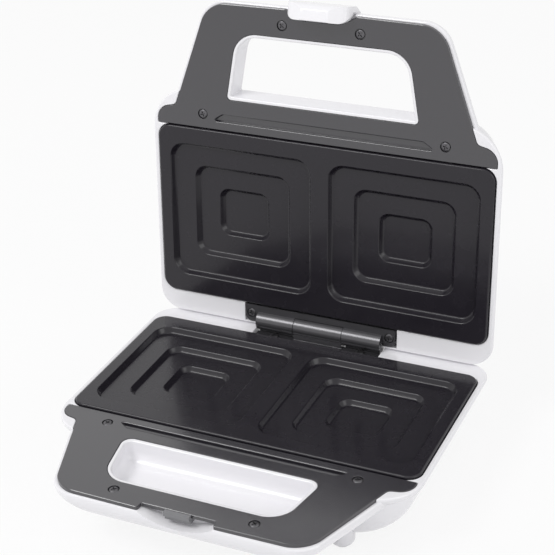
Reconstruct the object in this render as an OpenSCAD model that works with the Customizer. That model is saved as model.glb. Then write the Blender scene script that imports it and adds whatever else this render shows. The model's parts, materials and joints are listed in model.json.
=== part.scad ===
/* [Cooking plates] */
// Width of each cooking plate
plate_w = 240; // [220:1:260]
// Depth of each cooking plate, front to back
plate_d = 124; // [114:1:136]
// Corner radius of a cooking plate
plate_r = 9; // [6:0.5:12]
// Thickness of a plate's rim
plate_t = 4.5; // [4:0.1:5.5]
// Rim between a pocket and the side of the plate
side_rim = 9; // [7:0.5:14]
// Rim between a pocket and the front of the plate
front_rim = 12; // [8:0.5:16]
// Rim between a pocket and the hinge side of the plate
rear_rim = 14; // [10:0.5:18]
// Bar between the two pockets
divider = 13; // [9:0.5:18]
// Width of each ring between two steps, across the toaster
tread_x = 17; // [13:0.5:19]
// Width of each ring between two steps, front to back
tread_y = 16; // [12:0.5:18]
// Depth of the outer step of a pocket
step_1 = 4; // [3:0.1:4.5]
// Depth of the middle step of a pocket
step_2 = 3.5; // [2.5:0.1:4]
// Depth of the centre step of a pocket
step_3 = 3.5; // [2.5:0.1:4]
// How far a step's wall leans over its height
draft = 1.4; // [0.6:0.1:2]
// Corner radius of the outer step
pocket_r = 11; // [9:0.5:14]
// Metal left under a pocket floor
pocket_floor = 2.6; // [2:0.1:3]

/* [Casings] */
// How far a casing stands out beyond its plate at each side
case_side = 4; // [3:0.25:8]
// How far a casing's deep part reaches in front of its plate
deck_front = 26; // [24:0.5:30]
// How far a casing reaches behind its plate
deck_rear = 15.8; // [15:0.2:17]
// Corner radius of the deep part at the front
case_r_front = 28; // [24:1:32]
// Corner radius of the deep part at the back
case_r_rear = 16; // [12:1:20]
// Depth of the deep part under the plate rim
case_depth = 38; // [36:0.5:44]
// Wall of the casings
wall = 2.4; // [2:0.1:3]
// How far the sides draw in towards the bottom
side_in = 28; // [16:1:32]
// Width of the lip that overhangs the sides
lip = 5.5; // [4:0.5:7]
// Extra height in the middle of the lid's top
crown = 2.5; // [1:0.5:5]
// Height of the feet under the base
foot_h = 8; // [6:0.5:12]
// Radius of a foot
foot_r = 8; // [7:0.5:9]
// Distance of the feet in from the sides of the plate
foot_in = 42; // [36:1:50]
// How far the front feet stand in front of the plate
foot_ahead = 17; // [10:1:17]
// Distance of the rear feet in from the back of the plate
foot_back = 2; // [-2:1:10]

/* [Handles] */
// How far the base trim reaches in front of the plate
base_reach = 83.2; // [81:0.2:86]
// How far the lid trim reaches in front of the plate
lid_reach = 88.5; // [86:0.5:90]
// Width of the bar in front of a handle opening
bar = 19; // [18.5:0.5:22]
// Distance from the plate to the back edge of the base handle's opening
window_gap = 20.6; // [20:0.2:22]
// Distance of a handle opening's back corners in from the sides of the plate
arm_rear = 52; // [51:0.5:60]
// Distance of a handle opening's front corners in from the sides of the plate
arm_front = 60; // [58:0.5:66]
// Thickness of each handle half, from the trim's face
grip_t = 19; // [18:0.5:23]
// Depth of the closed tray in the base handle
tray_depth = 15; // [10:0.5:15.5]
// Thickness of the dark handle trims
trim_t = 2.4; // [2:0.1:2.8]
// How far the trims' face lies below the plate rim
rim_drop = 1.5; // [1:0.1:2]
// How far a casing bulges out beyond its trim
bulge = 1.6; // [1.2:0.1:2.4]

/* [Hinge and latch] */
// Gap between the two plate rims when the lid is shut
shut_gap = 0.9; // [0.6:0.1:1.5]
// Angle from shut to open
open_angle = 94; // [90:0.5:96]
// Distance of the hinge axis behind the plates
hinge_behind = 12.6; // [12:0.1:13]
// Height of the hinge axis over the base plate's rim
hinge_up = 3.4; // [3.2:0.1:3.8]
// Radius of a hinge knuckle
knuckle_r = 6.8; // [6.2:0.1:7]
// Half length of the middle knuckle
knuckle_in = 18; // [14:0.5:22]
// Distance from the middle to the outer end of an outer knuckle
knuckle_out = 46.3; // [42:0.1:47]
// Radius of the hinge pin
pin_r = 2; // [1.5:0.1:2.5]
// Running clearance round a turning pin
run_gap = 0.05; // [0.02:0.01:0.1]
// Half width of the latch clip
clip_w = 22; // [20:0.5:23]
// How far the clip swings from unlatched to latched
clip_swing = 15; // [12:1:18]

/* [Screws and small parts] */
// Radius of a screw's shank
screw_r = 1.5; // [1.2:0.1:1.8]
// Radius of a screw's head
head_r = 3.1; // [2.6:0.1:3.4]
// Radius of the tubular heating elements
heater_r = 3.2; // [2.8:0.1:3.3]
// Thickness of the reflector sheet
sheet_t = 0.8; // [0.6:0.1:1]
// Radius of the hole for the mains cord
cord_r = 3.75; // [3.25:0.05:4.25]
// Radius of a lamp lens
lens_r = 3.5; // [3:0.1:4.5]
// Distance between the two lamp lenses
lens_gap = 26; // [16:1:40]

/* [Hidden] */
eps = 0.01;
corner_n = 8;
round_fn = 48;

white_plastic = [0.93, 0.92, 0.95];
dark_plastic = [0.3, 0.29, 0.31];
coated_metal = [0.22, 0.21, 0.23];
bare_steel = [0.72, 0.72, 0.74];

// Places of the pocket steps in a plate
pocket_w = plate_w / 2 - side_rim - divider / 2;
pocket_d = plate_d - front_rim - rear_rim;
pocket_x = (plate_w / 2 - side_rim + divider / 2) / 2;
pocket_y = (front_rim - rear_rim) / 2;
step_depth = [step_1, step_1 + step_2, step_1 + step_2 + step_3];
pocket_wall = 2;

// Overall sizes of a half, from its plate and the margins round it
case_w = plate_w + 2 * case_side;
case_front = plate_d / 2 + deck_front;
case_rear = plate_d / 2 + deck_rear;
base_front = plate_d / 2 + base_reach;
lid_front = plate_d / 2 + lid_reach;
window_rear = plate_d / 2 + window_gap;
window_rear_x = plate_w / 2 - arm_rear;
window_front_x = plate_w / 2 - arm_front;
foot_x = plate_w / 2 - foot_in;
foot_front = plate_d / 2 + foot_ahead;
foot_rear = plate_d / 2 - foot_back;

// Heights in a half, measured down from its plate rim
trim_under = rim_drop + trim_t;
flange_z = plate_t;
ledge_z = flange_z + sheet_t;
grip_z = rim_drop + grip_t;
element_z = step_1 + pocket_floor + heater_r;
pan_z = max(step_depth[2] + pocket_floor, element_z + heater_r) + 2;
ear_z = ledge_z + 2.3;
fit_gap = 0.6;
seat_gap = 0.3;

// Places shared by trims, casings and screws
trim_back = plate_d / 2 + fit_gap;
shoulder_x = plate_w / 2 + 0.4;
shoulder_y = trim_back + 11;
neck_x = plate_w / 2 - 13.3;
neck_y = trim_back + 14;
nose_slope = 0.35;
inner_screw = [plate_w / 2 - 34, trim_back + 10];
base_screw_x = 46.5;
boss_r = 4;
lid_screw_x = clip_w + 1 + boss_r;
front_screw_back = 11;
notch_x = clip_w + 3;
base_notch = [5, 0.5, 0.8];
lid_notch = [6, 11, 12];
no_notch = [0.2, 0.5, 0.8];
channel_x = plate_w / 2 - 41;
channel_y = trim_back + 6;
channel_w = 5.2;
channel_depth = 2.6;

// The hinge, measured from the plate centre
hinge_y = plate_d / 2 + hinge_behind;
hinge_half = shut_gap - hinge_up;
clear_r = knuckle_r + 0.8;
bracket_x = knuckle_out + 9.7;
hinge_screw = [knuckle_out + 5.2, plate_d / 2 + 7.5];
base_hinge_screw = [(knuckle_in + knuckle_out) / 2, plate_d / 2 + 5.4];
bracket_back = plate_d / 2 + 13.5;
shelf_z = ear_z + sheet_t;
base_bar_top = clear_r - hinge_up;
stop_r = 9.4;

// The latch, measured from the plate centre, heights over the base plate's rim
clip_pin = [-(lid_front - 4.5), 12.5];
clip_pin_r = 1.5;
pocket_back = lid_front - 10.8;
pocket_x_in = clip_w + 1;
pocket_top = 19;
catch_front = base_front - 3.5;
catch_top = -(rim_drop + 0.2);
catch_foot = -7.7;
catch_nose = 1.6;
nose_foot = -4.6;
catch_w = 17;
peg_r = 1.6;
peg_z = catch_foot + 1.8;
scoop_r = 45.8;
scoop_z = -11.5;
scoop_back = base_front - 10;

// Other inner places
foot_bottom = case_depth + foot_h;
cord_place = [-(plate_w / 2 - 24), case_depth / 2 + 5];
lens_y = -(plate_d / 2 - 10);
lens_z = case_depth + crown * 0.75;
thermostat_x = pocket_x / 2;
block_place = [-(plate_w / 2 - 48), plate_d / 2 - 22];
stud_y = plate_d / 6;
stud_places = [[0, -stud_y], [0, stud_y], [-pocket_x, pocket_y], [pocket_x, pocket_y]];
stud_r = 2.5;
loop_x = plate_w / 2 - side_rim - tread_x / 2;
loop_front = -plate_d / 2 + front_rim + tread_y / 2;
loop_rear = plate_d / 2 - rear_rim - tread_y / 2;
loop_r = 14;
terminal_x = 10;

// The open toaster is centred over the origin, standing on z = 0
front_reach = base_front + bulge;
rear_reach = hinge_y + (case_depth - hinge_half + shut_gap) * sin(open_angle)
  - (hinge_y + case_front - side_in) * cos(open_angle) - 6;
plate_y = (front_reach - rear_reach) / 2;
plate_z = foot_bottom;

// Outlines: corners are [x, y, radius], and each becomes an arc
function unit(v) = v / norm(v);
function turn(a) = a > 180 ? a - 360 : a < -180 ? a + 360 : a;
function fillet(a, p, b, r, n) = let(
    u = unit(a - p), v = unit(b - p), half = acos(u * v) / 2,
    c = p + unit(u + v) * r / sin(half), d = r / tan(half),
    s = p + u * d - c, e = p + v * d - c,
    start = atan2(s.y, s.x), sweep = turn(atan2(e.y, e.x) - start))
  [for (i = [0:n]) c + r * [cos(start + sweep * i / n), sin(start + sweep * i / n)]];
function xy(p) = [p.x, p.y];
function rounded(corners, n = corner_n) = let(k = len(corners))
  [for (i = [0:k - 1]) each fillet(xy(corners[(i + k - 1) % k]), xy(corners[i]),
    xy(corners[(i + 1) % k]), corners[i][2], n)];
function both_sides(right) = concat(right,
  [for (i = [len(right) - 1:-1:0]) [-right[i].x, right[i].y, right[i][2]]]);
function box_corners(x0, x1, y0, y1, r_back, r_front) =
  [[x1, y1, r_back], [x1, y0, r_front], [x0, y0, r_front], [x0, y1, r_back]];
function outward(a, b) = let(d = unit(b - a)) [-d.y, d.x];
function grow(corners, m) = let(k = len(corners)) [for (i = [0:k - 1]) let(
    a = xy(corners[(i + k - 1) % k]), p = xy(corners[i]), b = xy(corners[(i + 1) % k]),
    u = outward(a, p), v = outward(p, b), q = p + (u + v) * m / (1 + u * v),
    convex = u.x * v.y - u.y * v.x < 0)
  [q.x, q.y, max(0.3, corners[i][2] + (convex ? m : -m))]];
function at_height(outline, z) = [for (p = outline) [p.x, p.y, z]];

// Smooth shell through a list of rings with equal counts, from the top down
module loft(rings) {
  n = len(rings[0]);
  k = len(rings);
  polyhedron(points = [for (ring = rings) each ring],
    faces = concat([[for (i = [0:n - 1]) i]], [[for (i = [n - 1:-1:0]) (k - 1) * n + i]],
      [for (j = [0:k - 2], i = [0:n - 1]) each let(a = j * n + i, b = j * n + (i + 1) % n)
        [[a, b + n, b], [a, a + n, b + n]]]), convexity = 6);
}

module slab(outline, z0, z1) {
  translate([0, 0, z0]) linear_extrude(z1 - z0) polygon(outline);
}

module block(x0, x1, y0, y1, z0, z1) {
  translate([x0, y0, z0]) cube([x1 - x0, y1 - y0, z1 - z0]);
}

module rod(r, z0, z1) {
  translate([0, 0, z0]) cylinder(r = r, h = z1 - z0, $fn = round_fn);
}

module rod_x(r, x0, x1, y, z) {
  translate([x0, y, z]) rotate([0, 90, 0]) cylinder(r = r, h = x1 - x0, $fn = round_fn);
}

module both_ends() {
  children();
  mirror([1, 0, 0]) children();
}

// Round tube along points, with square ends
module tube(path, r, sides = 8) {
  k = len(path);
  dirs = [for (i = [0:k - 1]) unit(path[min(i + 1, k - 1)] - path[max(i - 1, 0)])];
  up = [0.31, 0.17, 0.93];
  rings = [for (i = [0:k - 1]) let(a = unit(cross(dirs[i], up)), b = cross(dirs[i], a))
    [for (s = [0:sides - 1]) path[i] + r * (a * cos(360 * s / sides) + b * sin(360 * s / sides))]];
  loft(rings);
}

// Puts a half that is drawn plate rim up at z = 0 where the base or the open lid is
module in_base() {
  translate([0, plate_y, plate_z]) children();
}

module in_shut_lid() {
  translate([0, 0, shut_gap]) mirror([0, 0, 1]) children();
}

module open_lid() {
  translate([0, plate_y + hinge_y, plate_z + hinge_up]) rotate([-open_angle, 0, 0])
    translate([0, -hinge_y, -hinge_up]) children();
}

module in_lid() {
  open_lid() in_shut_lid() children();
}

// Side line of a handle at a distance in front of the plate centre
function side_x(y) = neck_x - (y - neck_y) * nose_slope;

// Right half of a trim's outline. Its notch is [depth, slant, radius of the inner corner]
function trim_right(front, notch) = [
  [shoulder_x, -trim_back, 0.8], [shoulder_x, -shoulder_y, 9.5], [neck_x, -neck_y, 4],
  [side_x(front), -(front - 0.8), 19], [notch_x, -front, 1.2],
  [notch_x - notch[1], -(front - notch[0]), notch[2]]];
function trim_outline(front, notch) = rounded(both_sides(trim_right(front, notch)));

function window_back(front) = window_rear + 0.4 * (front - base_front);
function window_outline(front, corner, more = 0) = rounded(grow(both_sides([
  [window_rear_x, -window_back(front), corner],
  [window_front_x, -(front - bar), 17]]), more));

// Deep part of a casing: lip, elliptic sides, then the flat or crowned bottom
function tub_ring(inset, z) = let(
    x = case_w / 2 - inset, f = -case_front + inset * 0.32,
    b = case_rear - inset * 0.3)
  at_height(rounded(box_corners(-x, x, f, b, max(8, case_r_rear - inset * 0.2),
    max(12, case_r_front - inset * 0.3))), z);
tub_start = rim_drop + 6.5;
tub_height = case_depth - tub_start;
function tub_sides(shrink, n = 7) = [for (i = [0:n]) let(t = 90 * i / n)
  tub_ring(lip + shrink + (side_in - shrink * 0.5) * (1 - cos(t)),
    -tub_start - (tub_height - shrink) * sin(t))];
function tub_rings() = concat(
  [tub_ring(0.9, -rim_drop), tub_ring(0.25, -rim_drop - 0.5), tub_ring(0, -rim_drop - 1.2),
   tub_ring(0.3, -rim_drop - 2.4)], tub_sides(0));
function crown_rings() = [for (i = [1:3]) let(t = 30 * i)
  tub_ring(lip + side_in + 42 * (1 - cos(t)), -case_depth - crown * sin(t))];

module tub_outer(top) {
  loft(top ? concat(tub_rings(), crown_rings()) : tub_rings());
}

module tub_inner() {
  loft(concat([tub_ring(lip + wall, -ledge_z)], tub_sides(wall)));
}

// Handle half: bulges out below the trim, then rounds under, more at the sides than in front
function grip_ring(front, side, fore, z) = at_height(rounded(both_sides([
  [side_x(trim_back) + side, -trim_back - 4, 0.5],
  [side_x(front) + side, -(front - 0.8) - fore, 19 - side * 0.25]])), z);
under_h = grip_z - 5;
under_side = 24;
under_front = 11;
function grip_rings(front, shrink) = concat(
  [grip_ring(front, 0.2 - shrink, 0.2 - shrink, -trim_under)],
  [for (i = [0:8]) let(t = 90 * i / 8, k = 1 - cos(t))
    grip_ring(front, bulge - shrink - (under_side - shrink) * k,
      bulge - shrink - (under_front - shrink) * k, -5 - (under_h - shrink) * sin(t))]);

module grip_outer(front) {
  loft(grip_rings(front, 0));
}

module grip_inner(front) {
  loft(grip_rings(front, wall));
}

module plate_opening() {
  slab(rounded(box_corners(-plate_w / 2 - fit_gap, plate_w / 2 + fit_gap, -plate_d / 2 - fit_gap,
    plate_d / 2 + fit_gap, plate_r + fit_gap, plate_r + fit_gap)), -ledge_z, 1);
}

module trim_seat(front) {
  slab(rounded(grow(both_sides(trim_right(front, no_notch)), 0.25)), -trim_under, 1);
}

module under_trim(front) {
  slab(rounded(grow(both_sides(trim_right(front, no_notch)), -wall)), -ledge_z - 2,
    -trim_under + eps);
}

// Posts under the four trim screws
module trim_posts(front, front_x) {
  both_ends() {
    translate([inner_screw.x, -inner_screw.y, 0]) rod(boss_r, -case_depth, -ledge_z);
    translate([front_x, -(front - front_screw_back), 0]) rod(boss_r, -grip_z, -trim_under);
  }
}

module trim_pilots(front, front_x) {
  both_ends() {
    translate([inner_screw.x, -inner_screw.y, 0]) rod(screw_r, -trim_under - 13, 1);
    translate([front_x, -(front - front_screw_back), 0]) rod(screw_r, -trim_under - 11, 1);
  }
}

// Small ribs that centre a plate in its casing
module side_ribs() {
  both_ends() for (y = [-46, 3, 46])
    block(plate_w / 2 + 0.1, plate_w / 2 + 1.5, y - 1, y + 1, -ledge_z, -rim_drop - 0.6);
}

module hinge_shelf() {
  block(-bracket_x - 3, bracket_x + 3, plate_d / 2 + fit_gap, case_rear, -ledge_z - 13, -ledge_z);
}

module hinge_pilots(place) {
  both_ends() translate([place.x, place.y, 0]) rod(screw_r, -shelf_z - 9, 1);
}

// Room for the reflector's front ears on top of the posts
module ear_slots() {
  both_ends() block(inner_screw.x - 4.4, inner_screw.x + 4.4, -inner_screw.y - 4.4,
    -plate_d / 2 + 1, -ledge_z, -trim_under + eps);
}

module cross_wall() {
  block(-case_w, case_w, -plate_d / 2 - 2.5, -plate_d / 2 + 1.5, -case_depth, -ledge_z);
}

module scoop(extra) {
  translate([0, -scoop_back + extra, scoop_z + scoop_r]) rotate([90, 0, 0])
    cylinder(r = scoop_r + extra, h = 30, $fn = 96);
}

module foot() {
  rod(foot_r - 1.5, -foot_bottom + 1.2, -foot_bottom + 3);
  translate([0, 0, -foot_bottom + 1.2]) cylinder(r1 = foot_r - 1.5, r2 = foot_r, h = 2.5,
    $fn = round_fn);
  rod(foot_r, -foot_bottom + 3.7, -case_depth + 12);
}

module feet_places() {
  both_ends() {
    translate([foot_x, -foot_front, 0]) children();
    translate([foot_x, foot_rear, 0]) children();
  }
}

module base_casing() {
  tray = window_outline(base_front, 7);
  color(white_plastic) in_base() difference() {
    union() {
      tub_outer(false);
      grip_outer(base_front);
      feet_places() foot();
    }
    difference() {
      union() {
        tub_inner();
        grip_inner(base_front);
        under_trim(base_front);
      }
      trim_posts(base_front, base_screw_x);
      cross_wall();
      hinge_shelf();
      slab(tray, -rim_drop - tray_depth - wall, 0);
      scoop(wall);
      translate([cord_place.x, case_rear - 3, -cord_place.y]) rotate([90, 0, 0])
        cylinder(r = cord_r + 4, h = 6, $fn = round_fn);
    }
    difference() {
      union() {
        plate_opening();
        trim_seat(base_front);
      }
      side_ribs();
      slab(window_outline(base_front, 7, -seat_gap), -10, 10);
    }
    slab(window_outline(base_front, 7, -wall), -rim_drop - tray_depth, 10);
    slab(rounded(box_corners(-window_rear_x - 9, window_rear_x + 9, -base_front + bar - 8,
      -window_rear + 8, 6, 14)), -rim_drop - seat_gap, 2);
    scoop(0);
    trim_pilots(base_front, base_screw_x);
    ear_slots();
    translate([0, -scoop_back + 6, peg_z]) rotate([90, 0, 0])
      cylinder(r = peg_r + 0.05, h = 12, $fn = round_fn);
    block(-knuckle_out - 1, knuckle_out + 1, plate_d / 2, case_rear + 9, -shelf_z, 2);
    hinge_pilots(base_hinge_screw);
    feet_places() rod(foot_r - 2.7, -foot_bottom, -foot_bottom + 2.4);
    translate([cord_place.x, case_rear + 5, -cord_place.y]) rotate([90, 0, 0])
      cylinder(r = cord_r + 1.6, h = 20, $fn = round_fn);
  }
}

module lid_casing() {
  window = window_outline(lid_front, 3);
  color(white_plastic) in_lid() difference() {
    union() {
      tub_outer(true);
      grip_outer(lid_front);
    }
    difference() {
      union() {
        tub_inner();
        grip_inner(lid_front);
        under_trim(lid_front);
      }
      trim_posts(lid_front, lid_screw_x);
      cross_wall();
      hinge_shelf();
      slab(window, -case_depth, 0);
      block(-pocket_x_in - wall, pocket_x_in + wall, -lid_front - 5, -pocket_back + wall,
        -pocket_top - wall, 0);
      lens_places() rod(lens_r + 3, -lens_z - 3, -lens_z + 6);
    }
    difference() {
      union() {
        plate_opening();
        trim_seat(lid_front);
      }
      side_ribs();
      slab(window_outline(lid_front, 3, -seat_gap), -10, 10);
    }
    slab(window_outline(lid_front, 3, -wall), -case_depth - 10, 10);
    slab(rounded(box_corners(-window_rear_x - 9, window_rear_x + 9, -lid_front + bar - 8,
      -window_rear + 8, 6, 14)), -rim_drop - seat_gap, 2);
    block(-pocket_x_in, pocket_x_in, -lid_front - 9, -pocket_back, -pocket_top, 2);
    rod_x(clip_pin_r + run_gap, -pocket_x_in - 4, pocket_x_in + 4, clip_pin.x,
      shut_gap - clip_pin.y);
    trim_pilots(lid_front, lid_screw_x);
    ear_slots();
    block(-knuckle_out - 1, knuckle_out + 1, plate_d / 2, case_rear + 9, -shelf_z, 2);
    block(-bracket_x - 1, bracket_x + 1, plate_d / 2, bracket_back + 1, -shelf_z, 2);
    rod_x(clear_r, -knuckle_out - 1, knuckle_out + 1, hinge_y, hinge_half);
    hinge_pilots(hinge_screw);
    lens_places() rod(lens_r, -case_depth - 20, -lens_z + 9);
  }
}

// Trim: flat dark face with its opening, a long shallow channel and four sunk screw holes
module trim_body(front, front_x, notch, corner) {
  channel = [[channel_x, -channel_y], [channel_x - 8, -channel_y - channel_w],
    [-channel_x + 8, -channel_y - channel_w], [-channel_x, -channel_y]];
  difference() {
    union() {
      slab(trim_outline(front, notch), -trim_under, -rim_drop);
      block(-channel_x - 2, channel_x + 2, -channel_y - channel_w - 1.6, -channel_y + 1.6,
        -rim_drop - channel_depth - 1.2, -rim_drop - 0.5);
      both_ends() translate([inner_screw.x, -inner_screw.y, 0]) rod(boss_r, -flange_z,
        -trim_under + eps);
    }
    slab(window_outline(front, corner), -20, 20);
    slab(channel, -rim_drop - channel_depth, 1);
    both_ends() for (p = [[inner_screw.x, -inner_screw.y], [front_x, -(front - front_screw_back)]])
      translate([p.x, p.y, 0]) {
        rod(head_r + 0.4, -rim_drop - 1.3, 1);
        rod(screw_r + 0.2, -20, 1);
      }
  }
}

module base_trim() {
  color(dark_plastic) in_base() trim_body(base_front, base_screw_x, base_notch, 7);
}

module lid_trim() {
  color(dark_plastic) in_lid() trim_body(lid_front, lid_screw_x, lid_notch, 3);
}

// Cross-recess pan-head screw, head seated at z = 0 and shank downwards
module screw(length) {
  color(bare_steel) difference() {
    union() {
      rod(screw_r - 0.03, -length, eps);
      rod(head_r, 0, 0.7);
      translate([0, 0, 0.7]) cylinder(r1 = head_r, r2 = head_r - 1, h = 0.6, $fn = round_fn);
    }
    for (a = [0, 90]) rotate(a) translate([0, 0, 1.1]) cube([3, 0.8, 1.2], center = true);
  }
}

module trim_screws(front, front_x) {
  head = -rim_drop - 1.3;
  both_ends() {
    translate([inner_screw.x, -inner_screw.y, head]) rotate(20) screw(13);
    translate([front_x, -(front - front_screw_back), head]) rotate(50) screw(11);
  }
}

module base_trim_screws() {
  in_base() trim_screws(base_front, base_screw_x);
}

module lid_trim_screws() {
  in_lid() trim_screws(lid_front, lid_screw_x);
}

// Size and corner radius of a pocket step, counted from 0 at the rim
function step_w(i) = pocket_w - 2 * tread_x * i;
function step_d(i) = pocket_d - 2 * tread_y * i;
function step_ring(i, inset, z) = at_height(rounded(box_corners(-step_w(i) / 2 + inset,
  step_w(i) / 2 - inset, -step_d(i) / 2 + inset, step_d(i) / 2 - inset,
  pocket_r - 2 * i - inset, pocket_r - 2 * i - inset)), z);

module pocket_steps() {
  for (i = [0:2]) {
    top = i == 0 ? 1 : -step_depth[i - 1] + eps;
    over = i == 0 ? 1 / step_depth[0] * draft : 0;
    loft([step_ring(i, -over, top), step_ring(i, draft, -step_depth[i])]);
  }
}

module pocket_shell() {
  for (i = [0:2]) slab([for (p = step_ring(i, draft - pocket_wall, 0)) [p.x, p.y]],
    -step_depth[i] - pocket_floor, -plate_t + 1);
}

module plate_body() {
  color(coated_metal) difference() {
    union() {
      slab(rounded(box_corners(-plate_w / 2, plate_w / 2, -plate_d / 2, plate_d / 2,
        plate_r, plate_r)), -plate_t, 0);
      both_ends() translate([pocket_x, pocket_y, 0]) pocket_shell();
      for (p = stud_places) translate([p.x, p.y, 0]) rod(stud_r, -pan_z - sheet_t - 2.5, -plate_t);
    }
    both_ends() translate([pocket_x, pocket_y, 0]) pocket_steps();
  }
}

module base_plate() {
  in_base() plate_body();
}

module lid_plate() {
  in_lid() plate_body();
}

// Heating element: one loop pressed to the plate's outer ring, with two cold ends
function arc_path(cx, cy, a0, a1, z) = [for (i = [0:5]) let(a = a0 + (a1 - a0) * i / 5)
  [cx + loop_r * cos(a), cy + loop_r * sin(a), z]];
module element() {
  x = loop_x - loop_r;
  f = loop_front + loop_r;
  b = loop_rear - loop_r;
  z = -element_z;
  color([0.45, 0.42, 0.4]) {
    tube(concat([[terminal_x, loop_rear, z]], arc_path(x, b, 90, 0, z), arc_path(x, f, 0, -90, z),
      arc_path(-x, f, -90, -180, z), arc_path(-x, b, 180, 90, z), [[-terminal_x, loop_rear, z]]),
      heater_r, 10);
    both_ends() rod_x(1.2, terminal_x - 7, terminal_x + 2, loop_rear, z);
  }
}

module base_heater() {
  in_base() element();
}

module lid_heater() {
  in_lid() element();
}

// Reflector pan under the plate, with a flange and four ears for the fixing screws
module pan_loft(shrink) {
  x = plate_w / 2 - 5 - shrink;
  y = plate_d / 2 - 5 - shrink;
  loft([at_height(rounded(box_corners(-x, x, -y, y, plate_r, plate_r)), -flange_z + shrink),
    at_height(rounded(box_corners(-x + 5, x - 5, -y + 3, y - 3, plate_r, plate_r)),
      -pan_z - sheet_t + shrink)]);
}

module pan(rear_screw) {
  color(bare_steel) difference() {
    union() {
      pan_loft(0);
      slab(rounded(box_corners(-plate_w / 2 + 2, plate_w / 2 - 2, -plate_d / 2 + 2,
        plate_d / 2 - 2, plate_r, plate_r)), -ledge_z, -flange_z);
      both_ends() {
        block(inner_screw.x - 4, inner_screw.x + 4, -inner_screw.y - 4, -plate_d / 2 + 3,
          -ledge_z, -flange_z);
        block(rear_screw.x - 4, rear_screw.x + 4, plate_d / 2 - 9, rear_screw.y + 4,
          -shelf_z, -ear_z);
      }
    }
    pan_loft(sheet_t);
    for (p = stud_places) translate([p.x, p.y, 0]) rod(stud_r + 0.3, -pan_z - 5, -pan_z + 3);
    both_ends() {
      translate([inner_screw.x, -inner_screw.y, 0]) rod(screw_r + 0.2, -ledge_z - 1, 0);
      translate([rear_screw.x, rear_screw.y, 0]) rod(screw_r + 0.2, -shelf_z - 1, 0);
    }
  }
}

module base_reflector() {
  in_base() pan(base_hinge_screw);
}

module lid_reflector() {
  in_lid() pan(hinge_screw);
}

// Push-on nuts that hold the plate's studs under the pan
module push_nuts() {
  z = -pan_z - sheet_t;
  color(bare_steel) for (p = stud_places) translate([p.x, p.y, 0]) difference() {
    union() {
      rod(stud_r + 3, z - 0.6, z);
      rod(stud_r + 1.2, z - 1.4, z);
    }
    rod(stud_r, z - 3, z + 1);
  }
}

module base_plate_nuts() {
  in_base() push_nuts();
}

module lid_plate_nuts() {
  in_lid() push_nuts();
}

// Base bracket: a bar on the casing's shelf with the middle knuckle
module hinge_base_bracket() {
  color(dark_plastic) in_base() difference() {
    union() {
      block(-knuckle_out, knuckle_out, plate_d / 2 + 1.2, bracket_back, -ear_z, -base_bar_top);
      for (side = [-1, 1]) block(side * (knuckle_in - 1) - 9, side * (knuckle_in - 1) + 9,
        plate_d / 2 + 1.2, bracket_back, -shelf_z, -ear_z + eps);
      block(-knuckle_in, knuckle_in, hinge_y - knuckle_r + 1.2, hinge_y + knuckle_r - 3,
        -shelf_z, hinge_up);
      rod_x(knuckle_r, -knuckle_in, knuckle_in, hinge_y, hinge_up);
    }
    rod_x(pin_r + run_gap / 2, -knuckle_in - 1, knuckle_in + 1, hinge_y, hinge_up);
    both_ends() {
      rod_x(clear_r, knuckle_in, knuckle_out + 1, hinge_y, hinge_up);
      block(knuckle_in + 0.3, knuckle_out + 0.5, hinge_y - 2.6, bracket_back + 1,
        -base_bar_top - 2.6, 1);
      translate([base_hinge_screw.x, base_hinge_screw.y, 0]) {
        rod(screw_r + 0.2, -20, 5);
        rod(head_r + 0.3, -base_bar_top - 0.4, 5);
      }
    }
  }
}

module base_hinge_screws() {
  in_base() both_ends() translate([base_hinge_screw.x, base_hinge_screw.y, -base_bar_top - 0.4])
    rotate(35) screw(10);
}

module hinge_pin() {
  color(bare_steel) in_base() rod_x(pin_r, -knuckle_out + 0.4, knuckle_out - 0.4, hinge_y, hinge_up);
}

// Lid bracket: a plate under the lid plate's rear edge with the two outer knuckles and their stops
lid_bracket_face = 0.6;
module hinge_lid_bracket() {
  color(dark_plastic) open_lid() difference() {
    union() {
      in_shut_lid() {
        slab(rounded(box_corners(-bracket_x, bracket_x, plate_d / 2 + 1.2, bracket_back + 0.5,
          5, 1)), -flange_z, -lid_bracket_face);
        both_ends() block(knuckle_out + 0.8, bracket_x, plate_d / 2 + 1.2, bracket_back,
          -ear_z, -flange_z + eps);
      }
      both_ends() {
        rod_x(knuckle_r, knuckle_in + 0.3, knuckle_out, hinge_y, hinge_up);
        translate([0, hinge_y, hinge_up]) rotate([open_angle, 0, 0])
          block(knuckle_in + 2, knuckle_out - 1, -2.3, 1.8, -stop_r, -knuckle_r + 2);
      }
    }
    rod_x(pin_r + run_gap, -knuckle_out - 1, knuckle_out + 1, hinge_y, hinge_up);
    rod_x(clear_r - 0.3, -knuckle_in - 0.3, knuckle_in + 0.3, hinge_y, hinge_up);
    block(-knuckle_in - 0.3, knuckle_in + 0.3, hinge_y - 2, hinge_y + 20, -10, 12);
    in_shut_lid() both_ends() translate([hinge_screw.x, hinge_screw.y, 0]) {
      rod(screw_r + 0.2, -20, 5);
      rod(head_r + 0.3, -lid_bracket_face - 1.4, 5);
    }
  }
}

module lid_hinge_screws() {
  in_lid() both_ends() translate([hinge_screw.x, hinge_screw.y, -lid_bracket_face - 1.4])
    rotate(15) screw(14);
}

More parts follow.
